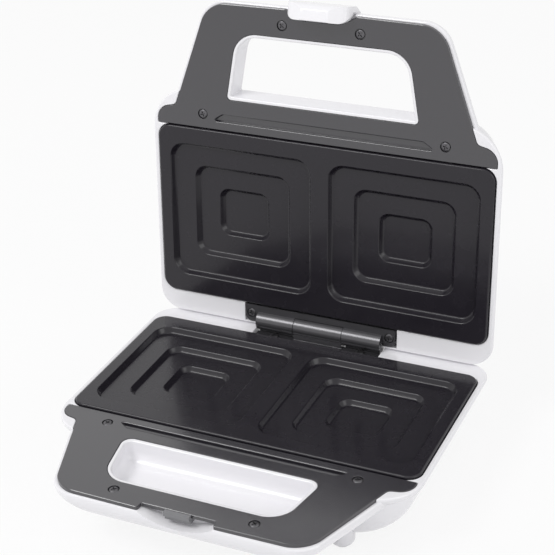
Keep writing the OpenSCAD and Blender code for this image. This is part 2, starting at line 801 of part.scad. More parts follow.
// Catch: a block in the base trim's notch, with a nose that the clip hooks under
module latch_catch() {
  color([0.55, 0.55, 0.57]) in_base() difference() {
    union() {
      block(-catch_w / 2, catch_w / 2, -catch_front, -scoop_back, catch_foot, -trim_under - 0.1);
      block(-catch_w / 2, catch_w / 2, -catch_front, -base_front + base_notch[0] - 0.3,
        catch_foot, catch_top);
      block(-catch_w / 2, catch_w / 2, -catch_front - catch_nose, -catch_front + eps,
        nose_foot, catch_top);
      translate([0, -scoop_back + 5, peg_z]) rotate([90, 0, 0])
        cylinder(r = peg_r, h = 6, $fn = round_fn);
    }
    translate([-catch_w, -catch_front - catch_nose, catch_top]) rotate([45, 0, 0])
      cube([catch_w * 2, 1.2, 1.2], center = false);
  }
}

module foot_pads() {
  color([0.25, 0.25, 0.26]) in_base() feet_places() {
    rod(foot_r - 2.8, -foot_bottom, -foot_bottom + 2.4);
  }
}

// Disc thermostat screwed flat to the pan's underside
module thermostat() {
  z = -pan_z - sheet_t;
  color([0.6, 0.55, 0.4]) in_base() translate([thermostat_x, 0, 0]) {
    rod(8, z - 8, z);
    block(-12, 12, -4, 4, z - 1, z);
    for (x = [-4, 4]) block(x - 0.4, x + 0.4, -3, 3, z - 14, z - 8 + eps);
  }
}

// Thermal cut-out in its sleeve, clipped to the pan
module thermal_fuse() {
  z = -pan_z - sheet_t - 2.3;
  color([0.75, 0.72, 0.6]) in_base() {
    rod_x(2.3, -48, -26, 18, z);
    block(-41, -33, 14.5, 21.5, z - 3.1, z - 1.9);
    block(-41, -33, 14.5, 15.3, z - 3.1, z + 2.3);
    block(-41, -33, 20.7, 21.5, z - 3.1, z + 2.3);
  }
}

// Three-way terminal block on the casing floor
module terminal_block() {
  floor_z = -case_depth + wall;
  color([0.9, 0.88, 0.82]) in_base() translate([block_place.x, block_place.y, floor_z])
    difference() {
      union() {
        block(-15, 15, -7, 7, 0, 3);
        for (x = [-10, 0, 10]) block(x - 4, x + 4, -7, 7, 0, 9);
      }
      for (x = [-10, 0, 10]) translate([x, 10, 4.5]) rotate([90, 0, 0])
        cylinder(r = 1.6, h = 20, $fn = 24);
    }
}

// Bush that lines the cord's way in through the rear wall
module cord_inlet() {
  color([0.2, 0.2, 0.21]) in_base() translate([cord_place.x, case_rear, -cord_place.y])
    rotate([-90, 0, 0]) difference() {
      union() {
        rod(cord_r + 1.5, -9, 1);
        rod(cord_r + 3.4, -0.4, 1.4);
      }
      rod(cord_r, -20, 20);
    }
}

// Insulated leads from the terminal block to the two cold ends
module base_leads() {
  z = -case_depth + wall + 4.5;
  under = -pan_z - sheet_t - 5;
  color([0.8, 0.75, 0.6]) in_base() for (x = [-10, 10]) {
    bx = block_place.x + x;
    tube([[bx, block_place.y - 7.2, z], [bx, block_place.y - 12, z], [bx + 3, 22, z + 2],
      [bx + 12, 12, under + 1], [bx + 26, 8, under], [bx + 34, 8, under]], 1.3, 8);
  }
}

// Insulated leads from the lamps back to the hinge side
module lid_leads() {
  z = -case_depth + 10;
  color([0.8, 0.75, 0.6]) in_lid() {
    for (lead = [[lens_gap / 2 + 2.4, 64], [-lens_gap / 2 + 2.4, 58]])
      tube([[lead.x, lens_y + 1.6, z], [lead.x + 14, lens_y + 14, z - 0.5],
        [lead.x + 30, -12, z - 0.5], [lead.y - 4, 18, z], [lead.y, 44, z + 1],
        [lead.y, 57, z + 2]], 1.3, 8);
  }
}

// Lamp lenses in the lid's top, with their neon lamps behind
module lens_places() {
  both_ends() translate([lens_gap / 2, lens_y, 0]) children();
}

module lens() {
  difference() {
    union() {
      rod(lens_r - 0.03, -lens_z - 1.2, -lens_z + 7.5);
      rod(lens_r + 1, -lens_z + 6.05, -lens_z + 7.5);
    }
    rod(lens_r - 1.1, -lens_z + 0.6, -lens_z + 20);
  }
}

module power_lamp_lens() {
  color([0.85, 0.1, 0.08]) in_lid() translate([-lens_gap / 2, lens_y, 0]) lens();
}

module ready_lamp_lens() {
  color([0.1, 0.6, 0.2]) in_lid() translate([lens_gap / 2, lens_y, 0]) lens();
}

module neon_lamps() {
  color([0.9, 0.7, 0.5]) in_lid() lens_places() {
    rod(lens_r - 1.4, -lens_z + 0.9, -lens_z + 10);
    for (x = [-0.8, 0.8]) translate([x, 0, 0]) rod(0.3, -lens_z + 9.9, -lens_z + 14);
  }
}

module latch_pin() {
  color(bare_steel) open_lid() rod_x(clip_pin_r, -pocket_x_in - 3.5, pocket_x_in + 3.5,
    clip_pin.x, clip_pin.y);
}

// Clip: its section in the latched place. In the open lid it hangs swung out, out of the latch
catch_gap = 0.5;
clip_face = lid_front + 4;
clip_foot = -9.4;
clip_back = lid_front - lid_notch[0] + 0.5;
clip_slope = lid_notch[0] / lid_notch[1];
hook_face = catch_front + catch_gap;
hook_top = -2.4;
clip_section = rounded([[-(pocket_back + 2.4), 16.4, 3], [-(lid_front - 0.4), 16.6, 3],
  [-clip_face, 6, 8], [-(clip_face - 1.6), -7, 6], [-(clip_face - 5.2), clip_foot, 2],
  [-hook_face, clip_foot, 0.8], [-hook_face, hook_top, 1],
  [-clip_back, 0.6, 1], [-clip_back, 5, 2], [-(pocket_back + 2.4), 9, 3]], 4);
// The clip seen from below: clear of the lid trim's notch, and fuller round its hook
trim_plan = rounded(both_sides([[clip_w, -clip_face, 1],
  [clip_w, -clip_back - 0.2 - (clip_w - notch_x + lid_notch[1]) * clip_slope, 2],
  [notch_x - lid_notch[1], -clip_back, lid_notch[2]]]));
hook_plan = rounded(both_sides([[clip_w, -clip_face, 1], [clip_w, -hook_face, 7.5]]));
// The clip seen from the front, inside the scoop
clip_outline = rounded(both_sides([[clip_w, 18, 2], [clip_w, scoop_z + 8, 8],
  [catch_w / 2 + 0.5, clip_foot, 6]]));

module latch_clip() {
  color(white_plastic) open_lid()
    translate([0, clip_pin.x, clip_pin.y]) rotate([-clip_swing, 0, 0])
    translate([0, -clip_pin.x, -clip_pin.y]) difference() {
      intersection() {
        translate([-clip_w, 0, 0]) rotate([90, 0, 90]) linear_extrude(2 * clip_w)
          polygon(clip_section);
        rotate([90, 0, 0]) linear_extrude(2 * lid_front) polygon(clip_outline);
        union() {
          slab(hook_plan, clip_foot - 1, 1.4);
          slab(trim_plan, 1.4 - eps, 6);
          block(-clip_w, clip_w, -clip_face, -pocket_back, 6 - eps, 30);
        }
      }
      block(-catch_w / 2 - 0.6, catch_w / 2 + 0.6, -hook_face - catch_nose, -hook_face + 9,
        nose_foot - 0.3, 1);
      rod_x(clip_pin_r + run_gap, -clip_w - 1, clip_w + 1, clip_pin.x, clip_pin.y);
    }
}

base_casing();
base_trim();
base_trim_screws();
base_plate();
base_heater();
base_reflector();
base_plate_nuts();
hinge_base_bracket();
base_hinge_screws();
hinge_pin();
latch_catch();
foot_pads();
thermostat();
thermal_fuse();
terminal_block();
cord_inlet();
base_leads();
lid_casing();
lid_trim();
lid_trim_screws();
lid_plate();
lid_heater();
lid_reflector();
lid_plate_nuts();
hinge_lid_bracket();
lid_hinge_screws();
power_lamp_lens();
ready_lamp_lens();
neon_lamps();
lid_leads();
latch_pin();
latch_clip();
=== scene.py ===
"""Looks of a sandwich toaster that stands open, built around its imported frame.

The file is laid out as an add-on and is run as a script. Lengths are metres, +Z is up and the
handles point to -Y. Each half is drawn with its plate's rim at z = 0 and then put in its place.
"""
import json
from math import cos, pi, radians, sin, tan

import bmesh
import bpy
from bpy.props import FloatProperty, FloatVectorProperty, PointerProperty
from mathutils import Matrix, Vector


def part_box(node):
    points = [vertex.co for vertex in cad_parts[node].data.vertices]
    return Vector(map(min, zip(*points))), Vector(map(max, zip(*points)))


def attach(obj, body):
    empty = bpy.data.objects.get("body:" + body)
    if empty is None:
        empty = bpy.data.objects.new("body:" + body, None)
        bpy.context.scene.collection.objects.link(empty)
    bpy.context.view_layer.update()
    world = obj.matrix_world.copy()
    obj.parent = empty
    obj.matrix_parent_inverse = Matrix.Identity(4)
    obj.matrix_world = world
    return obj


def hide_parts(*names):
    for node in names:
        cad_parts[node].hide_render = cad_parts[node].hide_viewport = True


bl_info = {
    "name": "Sandwich Toaster",
    "version": (1, 0, 0),
    "blender": (4, 5, 0),
    "location": "View3D > Sidebar > Toaster",
    "description": "Builds an open two-slice sandwich toaster and its studio",
    "category": "Add Mesh",
}

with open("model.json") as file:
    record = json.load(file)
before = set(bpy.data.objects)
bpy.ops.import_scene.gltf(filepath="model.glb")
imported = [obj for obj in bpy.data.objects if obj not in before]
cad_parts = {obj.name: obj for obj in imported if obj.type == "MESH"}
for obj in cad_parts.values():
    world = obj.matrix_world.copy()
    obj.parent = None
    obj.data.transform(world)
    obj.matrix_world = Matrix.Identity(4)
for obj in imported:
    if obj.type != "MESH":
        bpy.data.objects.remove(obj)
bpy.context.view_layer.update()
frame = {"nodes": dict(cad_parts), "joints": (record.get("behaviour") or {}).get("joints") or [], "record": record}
MM = 0.001
ARC = 10

# Places that the frame gives: the base plate's box and the lid's hinge with its opening angle
plate_low, plate_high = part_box("base_plate")
PLATE_X = (plate_high.x - plate_low.x) / 2
PLATE_Y = (plate_high.y - plate_low.y) / 2
JOINTS = {joint["name"]: joint for joint in frame["joints"]}
BODIES = {node: body for body, members in frame["record"]["behaviour"]["bodies"].items()
          for node in members}
HINGE = Vector(JOINTS["lid_hinge"]["pos_m"])
OPEN_ANGLE = radians(JOINTS["lid_hinge"]["range_deg"][1])
IN_BASE = Matrix.Translation((0, (plate_low.y + plate_high.y) / 2, plate_high.z))

# Measures that no property in the sidebar sets
SHARP = radians(32)  # edges that turn by more than this stay sharp
ROUND = 40  # sides of a turned piece
MERGED = 0.002 * MM  # points closer than this are one
NOSE_SLOPE = 0.35  # how fast a handle narrows towards its front
CROWN_REACH = 42 * MM  # how far in the lid's top rises to its crown
CROWN_STEPS = 6
FOOT_X = 78 * MM  # feet, from the middle
FOOT_FRONT = 17 * MM  # front feet, in front of the plate
FOOT_REAR = 2 * MM  # rear feet, in from the plate's back
CORD_X = 96 * MM  # cord inlet, from the middle
CORD_DROP = 24 * MM  # cord inlet, under the plate's rim
TRAY_FILLET = 8 * MM  # round between the tray's floor and wall
SCOOP_RADIUS = 45.8 * MM  # finger scoop in the front of the base's handle
SCOOP_RISE = 34.3 * MM  # its axis, above the plate's rim
SCOOP_DEPTH = 10 * MM  # its back, in from the trim's front
CLIP_ROOM_X = 23 * MM  # half the width of the clip's room in the lid's handle
CLIP_ROOM_BACK = 10.8 * MM  # its back, in from the trim's front
CLIP_ROOM_DEPTH = 19 * MM  # its depth under the plate's rim
SEAT_DROP = 1.3 * MM  # sunk seats of the trim screws, under the trim's face
LENS_X = 13 * MM  # lamp lenses, from the middle
LENS_FRONT = 10 * MM  # lamp lenses, in from the plate's front
RED, GREEN = (0.6, 0.02, 0.015), (0.02, 0.4, 0.09)  # lamp lenses
FLOOR_DROP = 0.0002  # keeps the floor clear of the foot pads
FLOOR_GLOW = 0.86  # share of plain white in the floor that the camera sees
LAMP_AIM = Vector((0, 0.03, 0.12))  # point that the lamps face


def turned_about(point, angle):
    """Rotation about the line through a point along X."""
    return Matrix.Translation(point) @ Matrix.Rotation(angle, 4, "X") @ Matrix.Translation(-point)


def in_lid(sizes):
    """Place of a half's drawing in the open lid."""
    shut = IN_BASE @ Matrix.Translation((0, 0, sizes.shut_gap)) @ Matrix.Scale(-1, 4, (0, 0, 1))
    return turned_about(HINGE, -OPEN_ANGLE) @ shut


def length(name, text, value):
    return FloatProperty(name=name, description=text, default=value * MM, min=0, unit="LENGTH")


def colour(name, text, value):
    return FloatVectorProperty(name=name, description=text, default=value, min=0, max=1,
                               size=3, subtype="COLOR")


class ToasterSizes(bpy.types.PropertyGroup):
    """Sizes of the modelled pieces"""
    plate_radius: length("Plate corner", "Corner radius of a cooking plate", 9)
    plate_rim: length("Plate rim", "Thickness of a plate's rim", 4.5)
    side_rim: length("Side rim", "Rim between a pocket and the side of its plate", 9)
    front_rim: length("Front rim", "Rim between a pocket and the front of its plate", 12)
    rear_rim: length("Rear rim", "Rim between a pocket and the hinge side of its plate", 14)
    divider: length("Divider", "Bar between the two pockets", 13)
    tread_x: length("Tread across", "Width of a step's ring across the toaster", 17)
    tread_y: length("Tread along", "Width of a step's ring front to back", 16)
    outer_step: length("Outer step", "Depth of a pocket's outer step", 4)
    inner_step: length("Inner steps", "Depth of the middle and centre steps", 3.5)
    draft: length("Draft", "How far a step's wall leans over its height", 1.4)
    pocket_radius: length("Pocket corner", "Corner radius of a pocket's outer step", 11)
    pocket_floor: length("Pocket floor", "Metal left under a pocket's floor", 2.6)
    case_side: length("Casing margin", "How far a casing stands out beside its plate", 4)
    deck_front: length("Deck front", "How far the deep part reaches in front of the plate", 26)
    deck_rear: length("Deck rear", "How far a casing reaches behind its plate", 15.8)
    front_radius: length("Front corner", "Corner radius of the deep part at the front", 28)
    rear_radius: length("Rear corner", "Corner radius of the deep part at the back", 16)
    depth: length("Depth", "Depth of the deep part under the plate's rim", 38)
    wall: length("Wall", "Wall of the casings", 2.4)
    side_in: length("Side draw", "How far the sides draw in towards the bottom", 28)
    lip: length("Lip", "Width of the lip that overhangs the sides", 5.5)
    crown: length("Crown", "Extra height in the middle of the lid's top", 2.5)
    foot_height: length("Foot height", "Height of the feet under the base", 8)
    foot_radius: length("Foot radius", "Radius of a foot", 8)
    base_reach: length("Base handle", "How far the base's trim reaches in front", 83.2)
    lid_reach: length("Lid handle", "How far the lid's trim reaches in front", 88.5)
    bar: length("Bar", "Width of the bar in front of a handle opening", 19)
    window_gap: length("Opening start", "Distance from the plate to the base's opening", 20.6)
    arm_rear: length("Arm at back", "Opening's back corners in from the plate's sides", 52)
    arm_front: length("Arm at front", "Opening's front corners in from the plate's sides", 60)
    grip: length("Grip", "Thickness of a handle half under its trim's face", 19)
    tray: length("Tray", "Depth of the closed tray in the base's handle", 15)
    trim: length("Trim", "Thickness of the dark trims", 2.4)
    rim_drop: length("Rim drop", "How far a trim's face lies below the plate's rim", 1.5)
    bulge: length("Bulge", "How far a casing bulges out beyond its trim", 1.6)
    shut_gap: length("Shut gap", "Gap between the two plate rims in the shut toaster", 0.9)
    screw_head: length("Screw head", "Radius of a screw's head", 3.1)
    screw_shank: length("Screw shank", "Radius of a screw's shank", 1.5)


class ToasterColours(bpy.types.PropertyGroup):
    """Colours of the finishes"""
    casing: colour("Casing", "Glossy moulded shells and the clip", (0.88, 0.873, 0.9))
    trim: colour("Trim", "Satin handle faces", (0.018, 0.016, 0.022))
    coating: colour("Coating", "Non-stick coating of the plates", (0.014, 0.012, 0.017))
    screw: colour("Screws", "Blackened steel", (0.13, 0.127, 0.135))
    steel: colour("Steel", "Bright pins and sheet", (0.62, 0.62, 0.64))
    element: colour("Element", "Sheath of the heating elements", (0.3, 0.28, 0.26))
    hinge: colour("Hinge", "Satin black brackets", (0.075, 0.073, 0.08))
    catch: colour("Catch", "Mid-grey catch block", (0.2, 0.2, 0.21))
    rubber: colour("Rubber", "Foot pads and cord bush", (0.05, 0.05, 0.05))


class ToasterStudio(bpy.types.PropertyGroup):
    """Camera and light"""
    azimuth: FloatProperty(name="Azimuth", description="Turn of the camera about the vertical",
                           default=radians(25.29), subtype="ANGLE")
    elevation: FloatProperty(name="Elevation", description="Tilt of the camera down",
                             default=radians(28.166), subtype="ANGLE")
    roll: FloatProperty(name="Roll", description="Roll of the camera", default=radians(-2.414),
                        subtype="ANGLE")
    camera: FloatVectorProperty(name="Camera", description="Place of the camera", size=3,
                                default=(0.3637, -0.7469, 0.5803), subtype="TRANSLATION")
    lens: FloatProperty(name="Lens", description="Focal length in millimetres", default=98.24,
                        min=1, subtype="NONE")
    key: FloatProperty(name="Key light", description="Power of the large lamp in watts",
                       default=13, min=0)
    fill: FloatProperty(name="Fill light", description="Power of the side lamp in watts",
                        default=5, min=0)
    surround: FloatProperty(name="Surround", description="Strength of the light from all sides",
                            default=0.66, min=0)


# Outlines are lists of corners (x, y, radius)

def both_sides(right):
    """A right half and its mirror image, as one closed outline."""
    return right + [(-x, y, r) for x, y, r in reversed(right)]


def box_outline(x0, x1, y0, y1, back, front):
    """Rectangle with one corner radius at the back and one at the front."""
    return [(x1, y1, back), (x1, y0, front), (x0, y0, front), (x0, y1, back)]


def grow(outline, margin):
    """An outline with every side moved outwards by a margin."""
    grown = []
    for i, (x, y, radius) in enumerate(outline):
        here = Vector((x, y))
        along = [(here - Vector(outline[i - 1][:2])).normalized(),
                 (Vector(outline[(i + 1) % len(outline)][:2]) - here).normalized()]
        out = [Vector((-d.y, d.x)) for d in along]
        moved = here + (out[0] + out[1]) * margin / (1 + out[0].dot(out[1]))
        convex = out[0].x * out[1].y - out[0].y * out[1].x < 0
        grown.append((moved.x, moved.y, max(0.3 * MM, radius + (margin if convex else -margin))))
    return grown


def edged(outline, z, *steps):
    """Levels of a rounded edge about a height, each step being (margin, rise) in millimetres."""
    return [(grow(outline, margin * MM), z + rise * MM) for margin, rise in steps]


# Solids: each is an object with one closed mesh, in the drawing of a half

def as_object(name, bm):
    """Turns a bmesh into a linked object with its faces outwards."""
    bmesh.ops.recalc_face_normals(bm, faces=bm.faces)
    mesh = bpy.data.meshes.new(name)
    bm.to_mesh(mesh)
    bm.free()
    thing = bpy.data.objects.new(name, mesh)
    bpy.context.scene.collection.objects.link(thing)
    return thing


def ring(bm, outline, z, arc):
    """Flat face at a height, whose corners are bevelled to arcs."""
    face = bm.faces.new([bm.verts.new((x, y, z)) for x, y, r in outline])
    for i, (vert, (x, y, radius)) in enumerate(zip(list(face.verts), outline)):
        here = Vector((x, y))
        before = Vector(outline[i - 1][:2]) - here
        after = Vector(outline[(i + 1) % len(outline)][:2]) - here
        made = bmesh.ops.bevel(bm, geom=[vert], offset=radius / tan(before.angle(after) / 2),
                               offset_type="OFFSET", segments=arc, profile=0.5,
                               affect="VERTICES", material=-1)
    return made["verts"][0].link_faces[0]


def loft(levels, arc=ARC):
    """Closed solid through outlines at heights, each level being (outline, z)."""
    bm = bmesh.new()
    faces = [ring(bm, outline, z, arc) for outline, z in levels]
    loops = [list(face.edges) for face in faces]
    bmesh.ops.delete(bm, geom=faces[1:-1], context="FACES_ONLY")
    for lower, upper in zip(loops, loops[1:]):
        bmesh.ops.bridge_loops(bm, edges=lower + upper)
    return as_object("solid", bm)


def repeated(piece, places):
    """The same solid at each of several places, as one object."""
    bm = bmesh.new()
    for place in places:
        before = len(bm.verts)
        bm.from_mesh(piece.data)
        bm.verts.ensure_lookup_table()
        bmesh.ops.transform(bm, matrix=place, verts=bm.verts[before:])
    bpy.data.meshes.remove(piece.data)
    return as_object("set", bm)


def spun(profile, places=(Matrix(),), steps=ROUND):
    """Turned solids with the same profile of (radius, height) points, one at each place."""
    bm = bmesh.new()
    verts = [bm.verts.new((r, 0, z)) for r, z in profile]
    edges = [bm.edges.new(pair) for pair in zip(verts, verts[1:])]
    bmesh.ops.spin(bm, geom=verts + edges, cent=(0, 0, 0), axis=(0, 0, 1), angle=2 * pi,
                   steps=steps, use_merge=True)
    bmesh.ops.remove_doubles(bm, verts=bm.verts, dist=0.001 * MM)
    return repeated(as_object("turned", bm), places)


def rod(radius, z0, z1, places=(Matrix(),), steps=ROUND):
    """Straight round solids between two heights."""
    return spun([(0, z0), (radius, z0), (radius, z1), (0, z1)], places, steps)


def block(x0, x1, y0, y1, z0, z1):
    """Box between two corners."""
    bm = bmesh.new()
    size = (x1 - x0, y1 - y0, z1 - z0)
    centre = ((x0 + x1) / 2, (y0 + y1) / 2, (z0 + z1) / 2)
    bmesh.ops.create_cube(bm, size=1, matrix=Matrix.LocRotScale(centre, None, size))
    return as_object("block", bm)


def combine(body, operation, tools):
    """Joins solids to a body, or cuts them out of it, one after another."""
    for tool in tools:
        step = body.modifiers.new("step", "BOOLEAN")
        step.object, step.operation, step.solver = tool, operation, "EXACT"
        bpy.context.view_layer.update()
        graph = bpy.context.evaluated_depsgraph_get()
        done = bpy.data.meshes.new_from_object(body.evaluated_get(graph))
        body.modifiers.clear()
        before, body.data = body.data, done
        bpy.data.meshes.remove(before)
        bpy.data.meshes.remove(tool.data)
    return body


def join(body, *tools):
    return combine(body, "UNION", tools)


def cut(body, *tools):
    return combine(body, "DIFFERENCE", tools)


def shift(x, y, z=0):
    return Matrix.Translation((x, y, z))


def either_side(x, y):
    """Two places that mirror each other across the middle."""
    return (shift(x, y), shift(-x, y))


def foot_places(z=0):
    """The four feet of the base."""
    return [shift(x, y, z) for x in (FOOT_X, -FOOT_X)
            for y in (-PLATE_Y - FOOT_FRONT, PLATE_Y - FOOT_REAR)]


def lying(y):
    """Turn that lays a rod along the Y axis, starting at y and pointing forwards."""
    return Matrix.Translation((0, y, 0)) @ Matrix.Rotation(pi / 2, 4, "X")


def cord_line(y=0):
    """Turn that lays a rod along the cord inlet's axis, starting at y and pointing backwards."""
    return Matrix.Translation((-CORD_X, y, -CORD_DROP)) @ Matrix.Rotation(-pi / 2, 4, "X")


def dress(piece, name, node, material, place=None, edge=0):
    """Puts a finished solid in its place, smooths it and lets it stand for its node."""
    piece.name = piece.data.name = name
    bm = bmesh.new()
    bm.from_mesh(piece.data)
    bmesh.ops.remove_doubles(bm, verts=bm.verts, dist=MERGED)
    bmesh.ops.dissolve_degenerate(bm, edges=bm.edges, dist=MERGED)
    stray = [face for face in bm.faces if all(line.is_boundary for line in face.edges)]
    bmesh.ops.delete(bm, geom=stray, context="FACES")
    if place is not None:
        bmesh.ops.transform(bm, matrix=place, verts=bm.verts)
        if place.determinant() < 0:
            bmesh.ops.reverse_faces(bm, faces=bm.faces)
    for face in bm.faces:
        face.smooth = True
    for line in bm.edges:
        line.smooth = line.calc_face_angle(0) < SHARP
    bm.to_mesh(piece.data)
    bm.free()
    if edge:
        rounding = piece.modifiers.new("rounding", "BEVEL")
        rounding.width, rounding.segments = edge, 2
        rounding.limit_method, rounding.angle_limit = "ANGLE", SHARP
    normals = piece.modifiers.new("normals", "WEIGHTED_NORMAL")
    normals.keep_sharp = True
    piece.data.materials.clear()
    piece.data.materials.append(material)
    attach(piece, BODIES[node])
    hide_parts(node)


# Materials

def colours():
    """Colours that the sidebar holds."""
    return bpy.context.scene.toaster_colours


def finish(name, tone, rough, grain, mottle, metal=0, coat=0, specular=0.5,
           stretch=(1, 1, 1)):
    """Moulded or metal surface: slow changes of tone and gloss, and a fine grain in relief.

    grain is (lumps per metre, height in millimetres), mottle is (lumps per metre, share).
    rough is the range of roughness, and stretch draws the grain out along an axis.
    """
    found = bpy.data.materials.get(name + "_finish")
    if found:
        return found
    paint = bpy.data.materials.new(name + "_finish")
    paint.use_nodes = True
    nodes, links = paint.node_tree.nodes, paint.node_tree.links
    shader = nodes["Principled BSDF"]
    shader.inputs["Metallic"].default_value = metal
    shader.inputs["Coat Weight"].default_value = coat
    shader.inputs["Coat Roughness"].default_value = 0.12
    shader.inputs["Specular IOR Level"].default_value = specular
    where = nodes.new("ShaderNodeTexCoord")
    where.name = "where"
    drawn = nodes.new("ShaderNodeMapping")
    drawn.inputs["Scale"].default_value = stretch
    links.new(where.outputs["Object"], drawn.inputs["Vector"])
    slow = nodes.new("ShaderNodeTexNoise")
    slow.inputs["Scale"].default_value = mottle[0]
    slow.inputs["Detail"].default_value = 3
    links.new(where.outputs["Object"], slow.inputs["Vector"])
    fine = nodes.new("ShaderNodeTexNoise")
    fine.inputs["Scale"].default_value = grain[0]
    fine.inputs["Detail"].default_value = 2
    links.new(drawn.outputs["Vector"], fine.inputs["Vector"])
    tint = nodes.new("ShaderNodeMix")
    tint.name = "tint"
    tint.data_type = "RGBA"
    dark, light = [[min(1, c * (1 + s * mottle[1])) for c in tone] + [1] for s in (-1, 1)]
    tint.inputs["A"].default_value = dark
    tint.inputs["B"].default_value = light
    links.new(slow.outputs["Fac"], tint.inputs["Factor"])
    links.new(tint.outputs["Result"], shader.inputs["Base Color"])
    gloss = nodes.new("ShaderNodeMapRange")
    gloss.inputs["From Min"].default_value = 0.3
    gloss.inputs["From Max"].default_value = 0.7
    gloss.inputs["To Min"].default_value = rough[0]
    gloss.inputs["To Max"].default_value = rough[1]
    links.new(slow.outputs["Fac"], gloss.inputs["Value"])
    links.new(gloss.outputs["Result"], shader.inputs["Roughness"])
    relief = nodes.new("ShaderNodeBump")
    relief.inputs["Strength"].default_value = 1
    relief.inputs["Distance"].default_value = grain[1] * MM
    links.new(fine.outputs["Fac"], relief.inputs["Height"])
    links.new(relief.outputs["Normal"], shader.inputs["Normal"])
    return paint


def casing_plastic():
    return finish("casing_plastic", colours().casing, (0.13, 0.15), (700, 0.005), (25, 0.008))


def trim_plastic():
    return finish("trim_plastic", colours().trim, (0.2, 0.25), (2600, 0.008), (60, 0.08),
                  specular=1, coat=0.4)


def plate_coating():
    """Sprayed non-stick coating: dark, with pale specks and a fine orange-peel relief."""
    tone = colours().coating
    paint = finish("coated_aluminium", tone, (0.24, 0.29), (1500, 0.01), (90, 0.1),
                   specular=0.25, coat=0.35)
    nodes, links = paint.node_tree.nodes, paint.node_tree.links
    if "specks" not in nodes:
        specks = nodes.new("ShaderNodeTexVoronoi")
        specks.name = "specks"
        specks.inputs["Scale"].default_value = 900
        size = nodes.new("ShaderNodeMapRange")
        size.inputs["From Min"].default_value = 0.16
        size.inputs["From Max"].default_value = 0.06
        size.inputs["To Max"].default_value = 0.22
        pale = nodes.new("ShaderNodeMix")
        pale.data_type = "RGBA"
        pale.inputs["B"].default_value = [min(1, 4 * c) for c in tone] + [1]
        tint = nodes["tint"]
        links.new(nodes["where"].outputs["Object"], specks.inputs["Vector"])
        links.new(specks.outputs["Distance"], size.inputs["Value"])
        links.new(size.outputs["Result"], pale.inputs["Factor"])
        links.new(tint.outputs["Result"], pale.inputs["A"])
        links.new(pale.outputs["Result"], nodes["Principled BSDF"].inputs["Base Color"])
    return paint


def screw_steel():
    return finish("screw_steel", colours().screw, (0.3, 0.42), (2200, 0.01), (300, 0.15),
                  metal=0.85)


def hinge_black():
    return finish("hinge_black", colours().hinge, (0.2, 0.27), (2000, 0.006), (120, 0.1),
                  metal=0.45, specular=1)


def catch_plastic():
    return finish("catch_plastic", colours().catch, (0.35, 0.45), (2400, 0.015), (200, 0.06))


def rubber(name):
    return finish(name, colours().rubber, (0.65, 0.8), (1800, 0.02), (150, 0.12), specular=0.3)


def bright_steel(name):
    return finish(name, colours().steel, (0.2, 0.32), (1500, 0.006), (80, 0.06), metal=1,
                  stretch=(0.05, 1, 1))


def lens_plastic(name, tone):
    """Clear tinted plastic with a faint grain in relief."""
    paint = finish(name, tone, (0.05, 0.1), (1200, 0.004), (200, 0.05), coat=0.6)
    paint.node_tree.nodes["Principled BSDF"].inputs["Transmission Weight"].default_value = 0.55
    return paint


# Shared outlines and heights of the two halves

